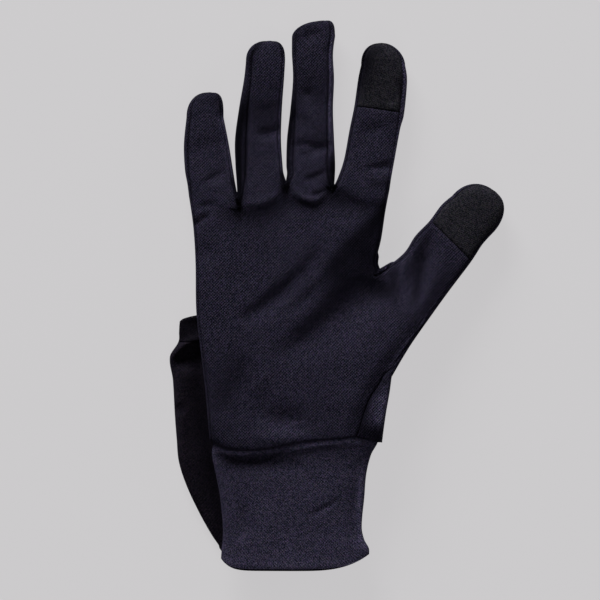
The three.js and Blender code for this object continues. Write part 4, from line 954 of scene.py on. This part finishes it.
# Painted shade and light on the hood, as on the palm: shade beside the hand and under the hem, light along
# the outer edge
hoodPaintedShading = {
    "besideHand": [
        (-66, -32, 0.4, 6, 3), (-65, -50, 0.5, 6, 3.4), (-62, -70, 0.5, 6, 3.4),
        (-58, -90, 0.5, 6, 3.4), (-55, -110, 0.4, 6, 3)],
    "outerLight": [
        (-77, -36, -0.2, 3, 3), (-76, -50, -0.5, 3, 3), (-74, -70, -0.4, 3, 3), (-68, -92, -0.2, 3, 3)],
    "hemShade": [(-74, -12, 0.3, 5, 5), (-66, -14, 0.4, 6, 6)],
    "spot": [(-75, -52, 0.5, 1.6, 1.6), (-74, -54, 0.4, 1.6, 1.6)],
}
hoodFolds = {
    "crest": [
        (-78, -29.4, 0.6, 1.3, 1.6), (-75.6, -26.8, 1.6, 1.4, 1.6), (-72.4, -23.8, 2, 1.6, 1.6),
        (-68.6, -21.6, 1.8, 1.6, 1.6), (-63, -20.4, 0.8, 1.6, 1.6), (-58, -20, 0, 1.6, 1.6)],
    "underCrest": [
        (-76, -34, -0.6, 2, 4), (-72.4, -30.6, -2.6, 2.6, 6), (-67, -27.4, -3.2, 3, 7),
        (-60, -26, -3, 3, 7), (-50, -26, 0, 3, 6)],
    "hemFall": [(-72, -12, -0.4, 3, 3), (-66, -14, -1.2, 4, 4), (-60, -14, -1.2, 4, 4)],
    "edgeRoll": [
        (-76, -36, 0.2, 2.4, 1.6), (-74.4, -46, 0.7, 2.4, 1.8), (-73.8, -60, 0.8, 2.4, 1.8),
        (-72.4, -76, 0.7, 2.4, 1.8), (-68, -94, 0.4, 2.4, 1.8), (-60, -108, 0, 2, 1.6)],
    "edgeDent": [(-73.6, -50, 0, 2, 2), (-74.2, -53.6, -1.2, 1.8, 1.8), (-73.6, -57, 0, 2, 2)],
    "innerFall": [
        (-65, -34, -2.2, 5, 5), (-64, -50, -3.2, 6, 6), (-61, -66, -3.4, 6.5, 6.5),
        (-58, -82, -3, 6.5, 6.5), (-56, -98, -2, 6, 6), (-52, -112, -0.6, 5, 5)],
}


def hoodTop(y):
    return readTable(hoodHeights, "y", y, "z")


# Lowest height that the back of the hand may reach: the hood under the hand, or the ground
underHand = {"clearFrom": 15, "fade": 5, "corner": 0.8}


def floorUnder(y):
    return (hoodTop(y) + hand["layerGap"]) * smooth((underHand["clearFrom"] - y) / underHand["fade"])


# How the wrist edge of the glove closes in on the cuff
wristPuff = {"reach": 9, "clearance": 1.55, "loft": 1.03, "from": -30, "over": 35, "below": -50}


# Gives every point of a sheet its height
def loft(sheet):
    xy = np.array(sheet.xy)
    rest = np.array(sheet.rest)
    onEdge = np.array(sheet.onEdge)
    x, y = xy[:, 0], xy[:, 1]
    film = membrane(xy, np.array(sheet.cells), onEdge)
    onBody = smooth((wristPuff["from"] - y) / wristPuff["over"]) * (y < wristPuff["from"])
    lift = rise(film) * mix(1, wristPuff["loft"], onBody)
    flat = np.stack([x, y, np.full(len(x), 0 if sheet.side == "front" else hand["backSwells"])], axis=1)
    slack = hand["swell"] * swells(flat, hand["swellSize"])
    slack += hand["crinkle"] * swells(flat, hand["crinkleSize"])
    fade = np.clip(lift / foldFade, 0, 1)
    if sheet.side == "front":
        folded = lift + foldLift(xy, palmFolds) * fade
        lift = softMax(folded, lift * -hand["deepest"], hand["deepestReach"])
    lift = lift + slack * fade
    toWrist = np.clip((y - wristY(x)) / wristPuff["reach"], 0, 1)
    half = (readTable(cuffSections, "y", y, "high") - readTable(cuffSections, "y", y, "low")) / 2
    middle, span = (wristLine[0][0] + wristLine[-1][0]) / 2, (wristLine[-1][0] - wristLine[0][0]) / 2
    rim = (half + wristPuff["clearance"]) * superRound((x - middle) / span, cuff["shape"])
    closing = mix(rim, np.maximum(lift, rim), np.sqrt(1 - (1 - toWrist) ** 2))
    lift = np.where((y < wristPuff["below"]) & (toWrist < 1), closing, lift)
    if sheet.side == "front":
        z = rest + lift
    else:
        z = softMax(rest - lift, floorUnder(y), underHand["corner"])
    return np.stack([x, y, np.where(onEdge, rest, z)], axis=1)


# Cloth coordinates, which follow the surface: the flat place, pushed outwards by the length that the
# cloth gains over a flat one. It counts from one place in each row of points.
def clothGain(rows, start):
    gain = lengthAlong(rows) - lengthAlong(rows[:, :, :2])
    outward = unit(rows[:, -1, :2] - rows[:, 0, :2])
    return (gain - gain[:, start:start + 1])[:, :, None] * outward[:, None]


# From the middle of each row of the palm and the fingers, and on from the seam over the side strips
def clothPlaces(sheet, points):
    excess = np.zeros((len(points), 2))
    strips = handSteps["stripColumns"]
    for name in ["palm"] + fingerOrder + ["thumb"]:
        grid = sheet.grids[name]
        base = excess[grid[0]]
        if name != "palm":
            base[:strips], base[-strips:] = base[strips], base[-strips - 1]
        ease = smooth(np.arange(len(grid)) / handSteps["clothEase"])[:, None, None]
        excess[grid[1:]] = (base[None] + clothGain(points[grid], grid.shape[1] // 2) * ease)[1:]
    for rows in sheet.strips:
        fromSeam = rows[:, ::-1]
        excess[fromSeam] = excess[rows[:, -1]][:, None] + clothGain(points[fromSeam], 0)
    return points[:, :2] + excess


# Both sides joined along the edge of the hand
def gloveShell():
    points, cells, pieces, places, index, grids = [], [], [], [], {}, {}
    for side in ("front", "back"):
        sheet = Sheet(side)
        addPalm(sheet)
        for name in fingerOrder + ["thumb"]:
            addFinger(sheet, name)
        raised = loft(sheet)
        cloth = clothPlaces(sheet, raised)
        ids = np.zeros(len(raised) + 1, int)
        ids[-1] = -1
        for i, (at, place) in enumerate(zip(raised, cloth)):
            key = tuple(int(round(value * 1000)) for value in at)
            if key not in index:
                index[key] = len(points)
                points.append(at)
                places.append(place)
            ids[i] = index[key]
        turned = ids[np.array(sheet.cells)]
        if side == "back":
            quad = turned[:, 3] >= 0
            turned = np.where(quad[:, None], turned[:, [3, 2, 1, 0]], turned[:, [2, 1, 0, 3]])
        cells.append(turned)
        pieces += sheet.pieces
        grids[side] = {name: ids[grid] for name, grid in sheet.grids.items()}
    return {"points": np.array(points), "cells": np.concatenate(cells), "pieces": np.array(pieces),
            "places": np.array(places), "grids": grids}


# Outward direction at every point
def pointNormals(points, cells):
    triangles = trianglesOf(cells)
    a, b, c = points[triangles[:, 0]], points[triangles[:, 1]], points[triangles[:, 2]]
    faces = unit(np.cross(b - a, c - a))
    normals = np.zeros_like(points)
    for k in range(3):
        at = points[triangles[:, k]]
        u = unit(points[triangles[:, (k + 1) % 3]] - at)
        v = unit(points[triangles[:, (k + 2) % 3]] - at)
        angle = np.arccos(np.clip((u * v).sum(1), -1, 1))
        normals += sumAt(triangles[:, k], angle[:, None] * faces, len(points))
    return unit(normals)


# Every edge of a set of cells, with the cell it belongs to
def cellEdges(cells):
    heads, tails, owners = [], [], []
    number = np.arange(len(cells))
    quad = cells[:, 3] >= 0
    for k in range(4):
        has = quad | (k < 3)
        after = np.where(quad, (k + 1) % 4, (k + 1) % 3)
        heads.append(cells[has, k])
        tails.append(cells[number, after][has])
        owners.append(number[has])
    return np.concatenate(heads), np.concatenate(tails), np.concatenate(owners)


# Edges that only one cell of a set uses
def rimEdges(cells, size):
    heads, tails, owners = cellEdges(cells)
    alone = ~np.isin(heads * size + tails, tails * size + heads)
    return heads[alone], tails[alone], owners[alone]


# Distance from every point to the nearest seam between two pieces
def seamDistance(shell, names):
    heads, tails, owners = cellEdges(shell["cells"])
    size = len(shell["points"])
    piece = np.unique(names, return_inverse=True)[1][owners]
    order = np.argsort(heads * size + tails)
    codes = (heads * size + tails)[order]
    back = tails * size + heads
    found = np.clip(np.searchsorted(codes, back), 0, len(codes) - 1)
    pair = codes[found] == back
    seam = pair & (piece != piece[order][found])
    ends = np.unique(np.concatenate([heads[seam], tails[seam]]))
    nearest = kdtree.KDTree(len(ends))
    for i in ends:
        nearest.insert(shell["points"][i], i)
    nearest.balance()
    return np.array([nearest.find(at)[2] for at in shell["points"]])


# A mesh in metres with its shade, which holds darker seams and painted shade and light, and its cloth
# coordinates
def makeMesh(name, vertices, faces, places, shade):
    mesh = bpy.data.meshes.new(name)
    mesh.from_pydata((np.asarray(vertices) * mm).tolist(), [], faces)
    mesh.update()
    mesh.attributes.new("shade", "FLOAT", "POINT").data.foreach_set("value", np.asarray(shade, np.float32))
    corners = np.zeros(len(mesh.loops), int)
    mesh.loops.foreach_get("vertex_index", corners)
    layer = mesh.uv_layers.new(name="cloth")
    layer.data.foreach_set("uv", (np.asarray(places)[corners] * mm).astype(np.float32).ravel())
    mesh.shade_smooth()
    piece = bpy.data.objects.new(name, mesh)
    bpy.context.scene.collection.objects.link(piece)
    return piece


rimRounds = (0.12, 0.5, 0.88)  # rings of a rounded rim, as shares of the way through the wall


# A closed wall of cloth from some cells of a shell. A free rim is rounded, a sewn one isn't.
def clothWall(name, points, inner, cells, places, shade, gap, freeRim=None):
    size = len(points)
    heads, tails, owners = rimEdges(cells, size)
    a, b, c = [points[cells[owners, k]] for k in range(3)]
    inward = np.cross(unit(np.cross(b - a, c - a)), unit(points[tails] - points[heads]))
    pull = sumAt(heads, inward, size) + sumAt(tails, inward, size)
    length = np.linalg.norm(pull, axis=1, keepdims=True)
    pull = np.where(length > 1e-9, pull / np.maximum(length, 1e-9), 0)
    used = np.unique(cells[cells >= 0])
    count = len(used)
    number = np.full(size + 1, -1)
    number[used] = np.arange(count)
    outer = points[used] + pull[used] * gap / 2
    outer[:, 2] = np.maximum(outer[:, 2], 0)
    inside = inner[used] + pull[used] * gap / 2
    vertices, spots, shades = [outer, inside], [places[used], places[used]], [shade[used], shade[used]]
    local = number[cells].tolist()
    number = number.tolist()
    faces = [[i for i in row if i >= 0] for row in local]
    faces += [[i + count for i in row[::-1] if i >= 0] for row in local]
    onRim = np.unique(np.concatenate([heads, tails]))
    onRim = onRim[freeRim[onRim]] if freeRim is not None else onRim[:0]
    rimNumber = {i: k for k, i in enumerate(onRim.tolist())}
    wall = inner[onRim] - points[onRim]
    for share in rimRounds:
        bulge = np.linalg.norm(wall, axis=1, keepdims=True) / 2 * math.sin(math.pi * share)
        vertices.append(points[onRim] + wall * share + pull[onRim] * (gap / 2 - bulge))
        spots.append(places[onRim])
        shades.append(shade[onRim])
    for head, tail in zip(heads.tolist(), tails.tolist()):
        levels = [(number[head], number[tail])]
        if head in rimNumber and tail in rimNumber:
            for k in range(len(rimRounds)):
                shift = 2 * count + k * len(onRim)
                levels.append((shift + rimNumber[head], shift + rimNumber[tail]))
        levels.append((number[head] + count, number[tail] + count))
        for (a1, b1), (a2, b2) in zip(levels[:-1], levels[1:]):
            faces.append([b1, a1, a2, b2])
    return makeMesh(name, np.concatenate(vertices), faces, np.concatenate(spots), np.concatenate(shades))


print("scene: hand")
pieces = {}
shell = gloveShell()
plainPieces = np.where(np.char.endswith(shell["pieces"], "touch_tip"), "palm_panel", shell["pieces"])
distance = seamDistance(shell, plainPieces)
touchDistance = seamDistance(shell, shell["pieces"])
normals = pointNormals(shell["points"], shell["cells"])
steep, touchSeam = hand["steepSeams"], bell(touchDistance, hand["touchReach"])
flatness = np.clip((np.abs(normals[:, 2]) - steep["from"]) / steep["over"], steep["least"], 1)
sunk = hand["seamDip"] * bell(distance, hand["seamReach"]) * flatness
sunk = np.maximum(sunk, hand["touchDip"] * touchSeam)
# Darker seams, partly painted shade in their grooves
shade = np.minimum(1 - hand["seamShade"] * bell(distance, hand["seamShadeReach"]),
                   1 - hand["touchShade"] * touchSeam)
# Painted shade and light from the palm's strokes, on the faces that look up
shade *= paintedBrightness(shell["points"], palmPaintedShading, normals[:, 2] > 0)
# Painted shade down in the gaps between the fingers, and painted light on one strip
for grids in shell["grids"].values():
    for row in gapPaintedShade:
        grid, strips = grids[row["finger"]], handSteps["stripColumns"]
        low = smooth((row["top"] - shell["points"][grid[:, 0], 1]) / gapFade["over"])[:, None]
        outer = smooth(((1 - stripPlaces[:-1])[None] - gapFade["outerFrom"]) / gapFade["outerOver"])
        dark = low * mix(row["rim"], row["outer"], outer)
        if row["side"] == "left":
            shade[grid[:, :strips]] *= 1 - dark
        else:
            shade[grid[:, -strips:]] *= 1 - dark[:, ::-1]
shell["points"] = shell["points"] - normals * sunk[:, None]
normals = pointNormals(shell["points"], shell["cells"])
shellInner = shell["points"] - normals * hand["cloth"]
gloveNodes = ["palm_panel", "back_panel", "fourchette_little_ring", "fourchette_ring_middle",
              "fourchette_middle_index", "index_touch_tip", "thumb_touch_tip"]
for name in gloveNodes:
    cells = shell["cells"][shell["pieces"] == name]
    pieces[name] = clothWall(name + "_cloth", shell["points"], shellInner, cells, shell["places"], shade,
                             hand["seamGap"])


# The cell that joins place n of two rings of points, and the place after it
def ringCell(ring, nextRing, n, count):
    after = (n + 1) % count
    return (ring * count + n, nextRing * count + n, nextRing * count + after, ring * count + after)


# The cuff is a tube whose cloth turns back inside at the mouth
def cuffMesh():
    steps, turn, wall = cuff["along"], cuff["turn"], cuff["wall"]
    rings = [cuffRing(i / steps, 0, 0) for i in range(steps)]
    for i in range(turn + 1):
        angle = math.pi * i / turn
        rings.append(cuffRing(1, wall / 2 * (1 - math.cos(angle)), wall / 2 * (1 - math.sin(angle))))
    outerCount = len(rings)
    rings += [cuffRing(i / steps, wall, 0) for i in reversed(range(steps))]
    points = np.concatenate(rings)
    count = 2 * cuff["around"]
    ringNumber, k = np.divmod(np.arange(len(points)), count)
    facing = np.sin(np.pi * np.minimum(k, count - k) / cuff["around"]) * np.where(k <= cuff["around"], 1, -1)
    outside = (ringNumber < outerCount - turn // 2) * np.clip(facing * cuff["sideFade"], -1, 1)
    upper = np.clip(facing * cuff["sideFade"], 0, 1)
    points[:, 2] += foldLift(points[:, :2], cuffFolds) * upper
    # Painted shade and light on the cuff's upper side
    shade = paintedBrightness(points, cuffPaintedShading, upper)
    points[:, 2] += cuff["swell"] * swells(points, cuff["swellSize"]) * outside
    total = len(rings)
    cells = [ringCell(i, (i + 1) % total, n, count) for i in range(total) for n in range(count)]
    grid = points.reshape(total, count, 3)
    alongCuff = np.repeat(lengthAlong(grid[:, count // 4])[:, None], count, axis=1)
    places = np.stack([lengthAlong(grid), alongCuff], axis=2).reshape(-1, 2)
    return points, cells, places, shade


print("scene: cuff")
pieces["cuff"] = makeMesh("cuff_rib", *cuffMesh())


# Rows of the hood from the hand to its rounded end
def hoodGrid(inset):
    steps = hood["across"]
    k = np.arange(2 * steps)
    u = -np.cos(np.pi * k / steps)
    y = np.linspace(hoodSections[0]["y"], hoodSections[-1]["y"], hood["rows"] + 1)
    left = readTable(hoodSections, "y", y, "left")
    right = readTable(hoodSections, "y", y, "right")
    s = np.sin(np.pi / 2 * np.arange(1, hood["tipRows"]) / hood["tipRows"])
    shrink = superRound(s, hoodTip["power"])
    left = np.concatenate([left, hoodTip["x"] + (left[-1] - hoodTip["x"]) * shrink])
    right = np.concatenate([right, hoodTip["x"] + (right[-1] - hoodTip["x"]) * shrink])
    y = np.concatenate([y, mix(y[-1], hoodTip["y"], s)])
    onHem = np.clip((y - hood["hemEnd"]) / (hood["mouthY"] - hood["hemEnd"]), 0, 1)
    onFlap = np.clip((y - hood["mouthY"]) / hood["flapEase"], 0, 1)
    dip = hood["dip"] * onHem * (1 - onFlap)
    rowY = y[:, None] - dip[:, None] * np.abs(u)[None] ** hood["dipPower"]
    top = hoodTop(rowY)
    up = np.where(k <= steps, 1, -1)
    bulge = np.minimum(1, hood["flat"] * superRound(u, hood["shape"])) * up
    x = ((left + right) / 2)[:, None] + ((right - left) / 2 - inset)[:, None] * u[None]
    z = top / 2 + (top / 2 - inset) * bulge[None]
    grid = np.stack([x, rowY, z], axis=2)
    upper = (np.clip(np.sin(np.pi * k / steps) * hood["sideFade"], 0, 1) * (k <= steps))[None]
    flat = grid.reshape(-1, 3)
    lift = foldLift(flat[:, :2], hoodFolds) + hood["swell"] * swells(flat, hood["swellSize"])
    pastHand = smooth((hoodSections[0]["y"] - rowY) / hood["swellEase"])
    grid[:, :, 2] += lift.reshape(x.shape) * upper * pastHand
    return grid, y


# The pocket with its flap, and the hem round its mouth
def hoodPieces():
    steps = hood["across"]
    count = 2 * steps
    grid, y = hoodGrid(0)
    rows = len(grid)
    end = float(hoodTop(hoodTip["y"])) / 2
    points = np.concatenate([grid.reshape(-1, 3), [[hoodTip["x"], hoodTip["y"], end]]])
    k = np.arange(count)
    onFlap = (k >= hood["flap"][0] * steps) & (k < hood["flap"][1] * steps)
    cells, names = [], []
    for i in range(rows - 1):
        for n in range(count):
            name = "mitten_hood"
            if y[i] > hood["hemEnd"] + hood["slack"] and not onFlap[n]:
                name = "hood_hem" if y[i] <= hood["mouthY"] + hood["slack"] else None
            if name:
                cells.append(ringCell(i, i + 1, n, count))
                names.append(name)
    start = (rows - 1) * count
    for n in range(count):
        cells.append((start + n, len(points) - 1, start + (n + 1) % count, -1))
        names.append("mitten_hood")
    cells, names = np.array(cells), np.array(names)
    aroundLength = lengthAlong(grid)
    places = np.stack([aroundLength, grid[:, :, 1]], axis=2).reshape(-1, 2)
    places = np.concatenate([places, [[aroundLength[-1].mean(), hoodTip["y"]]]])
    # Painted shade and light on the hood's upper layer
    shade = paintedBrightness(points, hoodPaintedShading, points[:, 2] > hoodTop(points[:, 1]) / 2, hood["paintedShading"])
    for name, wall in (("mitten_hood", hood["cloth"]), ("hood_hem", hood["hemWall"])):
        inner, _ = hoodGrid(wall)
        inner = np.concatenate([inner.reshape(-1, 3), [[hoodTip["x"], hoodTip["y"] + wall, end]]])
        freeRim = points[:, 1] > hood["mouthY"] - hood["dip"] - hood["rimSlack"]
        pieces[name] = clothWall(name + "_cloth", points, inner, cells[names == name], places,
                                 shade, hand["seamGap"], freeRim)


print("scene: hood")
hoodPieces()


# Knit cloth. The wales, courses, mesh and stitches follow the cloth's own coordinates, and the slow
# changes of tone are in space. mesh and wale are their spacings, and meshDepth is how strong the mesh is.

knits = table("name color glint mesh turn wale meshDepth rough shine", [
    ("palm", (0.0020, 0.0018, 0.0034), (0.0385, 0.0355, 0.0630), 0.98, 0, 0.6, 0.95, 0.55, 0.07),
    ("side", (0.0018, 0.0016, 0.0030), (0.0320, 0.0295, 0.0525), 0.98, 0, 0.6, 0.95, 0.58, 0.06),
    ("cuff", (0.0085, 0.0079, 0.0140), (0.0720, 0.0660, 0.1160), 0.95, 0, 0.96, 0.5, 0.58, 0.08),
    ("hood", (0.0024, 0.0020, 0.0030), (0.0160, 0.0132, 0.0198), 0.98, 10, 0.7, 0.4, 0.62, 0.06),
    # The hem's knit is the hood's, darkened: painted shade for the hem in the hand's shadow
    ("hem", (0.0010, 0.0009, 0.0013), (0.0072, 0.0060, 0.0090), 0.98, 10, 0.7, 0.4, 0.62, 0.05),
    ("touch", (0.0018, 0.0018, 0.0022), (0.0300, 0.0300, 0.0355), 0.8, 20, 0.5, 0.3, 0.5, 0.1),
])
grain = {
    "stitch": 0.44,  # size of a stitch's speck
    "randomness": 0.5,
    "contrast": 1.75,
    "hue": 0.28,  # how much the specks differ in colour
    "course": 0.62,  # spacing of the loops along a wale
    "ribPower": 2.2,
    "loopSlant": 0.55,
    "loopDepth": 0.22,
    "meshAngle": 45,
    "crossMesh": 0.4,  # share of the mesh that runs the other way
    "bump": 0.12,
    "cloudSize": 17,
    "cloudDepth": 0.5,
}
shineTint = (0.66, 0.60, 1.0)
refraction = 1.4
sheen = {"weight": 0.02, "rough": 0.4, "tint": (0.62, 0.56, 0.95)}


# Shader nodes that are made and joined in one line each
class Tree:
    def __init__(self, nodes, links):
        self.nodes = nodes
        self.links = links

    def make(self, kind, inputs=None, **settings):
        node = self.nodes.new(kind)
        for name, value in settings.items():
            setattr(node, name, value)
        for key, value in (inputs or {}).items():
            if isinstance(value, bpy.types.NodeSocket):
                self.links.new(value, node.inputs[key])
            else:
                node.inputs[key].default_value = value
        return node

    def math(self, operation, a, b=0.0):
        return self.make("ShaderNodeMath", {0: a, 1: b}, operation=operation).outputs[0]

    def blend(self, share, a, b, kind="MIX"):
        node = self.make("ShaderNodeMix", {0: share, 6: a, 7: b}, data_type="RGBA", blend_type=kind)
        return node.outputs[2]

    def turned(self, vector, degrees):
        turn = {"Vector": vector, "Rotation": (0, 0, math.radians(degrees))}
        return self.make("ShaderNodeMapping", turn).outputs[0]


# The nodes of a new material or world, emptied
def emptyTree(owner):
    owner.use_nodes = True
    owner.node_tree.nodes.clear()
    return Tree(owner.node_tree.nodes, owner.node_tree.links)


def knitMaterial(name, look):
    material = bpy.data.materials.new(name)
    tree = emptyTree(material)
    cloth = tree.make("ShaderNodeUVMap", uv_map="cloth").outputs[0]
    space = tree.make("ShaderNodeTexCoord").outputs["Object"]

    # Wales and loops of the knit
    parts = tree.make("ShaderNodeSeparateXYZ", {0: cloth})
    waleAt = tree.math("FRACT", tree.math("MULTIPLY", parts.outputs[0], 1 / (look["wale"] * mm)))
    fromMiddle = tree.math("MULTIPLY", tree.math("ABSOLUTE", tree.math("SUBTRACT", waleAt, 0.5)), 2)
    rib = tree.math("SUBTRACT", 1, tree.math("POWER", fromMiddle, grain["ribPower"]))
    courseAt = tree.math("ADD", tree.math("MULTIPLY", parts.outputs[1], 1 / (grain["course"] * mm)),
                         tree.math("MULTIPLY", fromMiddle, grain["loopSlant"]))
    loop = tree.math("SINE", tree.math("MULTIPLY", courseAt, math.tau))
    loopTone = tree.math("ADD", tree.math("MULTIPLY", loop, grain["loopDepth"]), 1 - grain["loopDepth"])
    knit = tree.math("MULTIPLY", rib, loopTone)

    # Slanting mesh that shows on the face of the cloth, in two crossing sets of lines
    slant = grain["meshAngle"] + look["turn"]
    meshwork = 0.0
    for angle, share in ((slant, 1 - grain["crossMesh"]), (slant + 90, grain["crossMesh"])):
        along = tree.make("ShaderNodeSeparateXYZ", {0: tree.turned(cloth, angle)}).outputs[0]
        line = tree.math("SINE", tree.math("MULTIPLY", along, math.tau / (look["mesh"] * mm)))
        meshwork = tree.math("ADD", tree.math("MULTIPLY", line, share), meshwork)
    meshTone = tree.math("MULTIPLY", meshwork, look["meshDepth"])

    # Stitches, each a speck of its own tone and hue, and slow clouds over them
    stitches = tree.make("ShaderNodeTexVoronoi", {
        "Vector": tree.turned(cloth, slant), "Scale": 1 / (grain["stitch"] * mm),
        "Randomness": grain["randomness"]}, voronoi_dimensions="2D").outputs["Color"]
    specks = tree.make("ShaderNodeSeparateXYZ", {0: stitches}).outputs[0]
    cloudy = {"Vector": space, "Scale": 1 / (grain["cloudSize"] * mm), "Detail": 3}
    cloud = tree.make("ShaderNodeTexNoise", cloudy).outputs["Fac"]
    tone = meshTone
    for part, depth in ((specks, grain["contrast"]), (cloud, grain["cloudDepth"])):
        tone = tree.math("ADD", tone, tree.math("MULTIPLY", tree.math("SUBTRACT", part, 0.5), depth))
    lit = tree.make("ShaderNodeMapRange", {"Value": tone, "From Min": -1.0, "From Max": 1.0}).outputs[0]
    color = tree.blend(lit, (*look["color"], 1), (*look["glint"], 1))
    color = tree.blend(1.0, color, tree.blend(grain["hue"], (1, 1, 1, 1), stitches), "MULTIPLY")
    # The shade attribute multiplies the colour: darker seams, and painted shade and light
    shade = tree.make("ShaderNodeAttribute", attribute_name="shade").outputs["Fac"]
    color = tree.blend(1.0, color, shade, "MULTIPLY")

    height = tree.math("ADD", tree.math("ADD", knit, meshTone), specks)
    bump = tree.make("ShaderNodeBump", {"Height": height, "Strength": 1.0, "Distance": grain["bump"] * mm})
    shader = tree.make("ShaderNodeBsdfPrincipled", {
        "Base Color": color, "Roughness": look["rough"], "Normal": bump.outputs[0],
        "IOR": refraction, "Specular IOR Level": look["shine"], "Specular Tint": (*shineTint, 1),
        "Sheen Weight": sheen["weight"], "Sheen Roughness": sheen["rough"],
        "Sheen Tint": (*sheen["tint"], 1)})
    tree.make("ShaderNodeOutputMaterial", {"Surface": shader.outputs[0]})
    return material


print("scene: finishes")
finishes = {look["name"]: knitMaterial("knit_" + look["name"], look) for look in knits}
pieceFinish = {
    "palm_panel": ("palm", "palm_knit"),
    "back_panel": ("palm", "back_knit"),
    "fourchette_little_ring": ("side", "side_knit"),
    "fourchette_ring_middle": ("side", "side_knit"),
    "fourchette_middle_index": ("side", "side_knit"),
    "index_touch_tip": ("touch", "touch_knit"),
    "thumb_touch_tip": ("touch", "touch_knit"),
    "cuff": ("cuff", "cuff_rib"),
    "mitten_hood": ("hood", "hood_knit"),
    # The hem takes the darkened copy of the hood's knit: painted shade
    "hood_hem": ("hem", "hood_knit"),
}
for node, (finish, slotName) in pieceFinish.items():
    piece = pieces[node]
    piece.data.materials.append(finishes[finish])
    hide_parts(node)
    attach(piece, "root")


# Studio: a pale ground and sky that glow a little, a large soft light past the fingertips and two small
# ones, on the right and past the cuff

studio = {
    "groundSize": 6.0,
    "groundColor": (0.08, 0.08, 0.08),
    "groundLook": (0.55, 0.54, 0.55),  # what the camera sees
    "groundGlow": 0.03,  # what it gives off
    "skyLook": (0.60, 0.59, 0.60),
    "skyGlow": 0.04,
    "lights": table("name x y z wide high power", [
        ("keyLight", -0.86, 2.66, 1.08, 1.6, 1.1, 144.0),
        ("rightLight", 1.31, 0.48, 0.51, 0.6, 0.6, 4.4),
        ("lowLight", 0.1, -1.06, 1.06, 0.7, 0.7, 2.4),
    ]),
}
camera = {
    "aimX": -0.0174,
    "aimY": -0.0024,
    "aimZ": 0.009,
    "frameWidth": 0.2812,
    "lens": 180,
    "sensor": 36,
    "farthest": 20,
}


# A glow that the camera sees at one strength while it lights its surroundings at another
def seenGlow(tree, seen, given, kind):
    path = tree.make("ShaderNodeLightPath").outputs["Is Camera Ray"]
    color = tree.blend(path, (given, given, given, 1), (*seen, 1))
    return tree.make(kind, {"Color": color, "Strength": 1.0}).outputs[0]


def makeGround():
    half = studio["groundSize"] / 2
    mesh = bpy.data.meshes.new("ground")
    corners = [(-half, -half, 0), (half, -half, 0), (half, half, 0), (-half, half, 0)]
    mesh.from_pydata(corners, [], [range(4)])
    ground = bpy.data.objects.new("ground", mesh)
    bpy.context.scene.collection.objects.link(ground)
    material = bpy.data.materials.new("pale_ground")
    tree = emptyTree(material)
    glow = seenGlow(tree, studio["groundLook"], studio["groundGlow"], "ShaderNodeEmission")
    matte = tree.make("ShaderNodeBsdfDiffuse", {"Color": (*studio["groundColor"], 1)}).outputs[0]
    both = tree.make("ShaderNodeAddShader", {0: glow, 1: matte}).outputs[0]
    tree.make("ShaderNodeOutputMaterial", {"Surface": both})
    mesh.materials.append(material)


def makeLights():
    world = bpy.data.worlds.new("studio")
    tree = emptyTree(world)
    sky = seenGlow(tree, studio["skyLook"], studio["skyGlow"], "ShaderNodeBackground")
    tree.make("ShaderNodeOutputWorld", {"Surface": sky})
    bpy.context.scene.world = world
    for row in studio["lights"]:
        data = bpy.data.lights.new(row["name"], "AREA")
        data.shape = "RECTANGLE"
        data.size = row["wide"]
        data.size_y = row["high"]
        data.energy = row["power"]
        light = bpy.data.objects.new(row["name"], data)
        light.location = (row["x"], row["y"], row["z"])
        light.rotation_euler = (-Vector(light.location)).to_track_quat("-Z", "Y").to_euler()
        bpy.context.scene.collection.objects.link(light)


def makeCamera():
    data = bpy.data.cameras.new("camera")
    data.lens = camera["lens"]
    data.sensor_width = camera["sensor"]
    away = camera["frameWidth"] / 2 / (camera["sensor"] / 2 / camera["lens"])
    view = bpy.data.objects.new("camera", data)
    view.location = (camera["aimX"], camera["aimY"], camera["aimZ"] + away)
    data.clip_end = camera["farthest"]
    bpy.context.scene.collection.objects.link(view)
    bpy.context.scene.camera = view
    bpy.context.scene.view_settings.view_transform = "Standard"


print("scene: studio")
makeGround()
makeLights()
makeCamera()
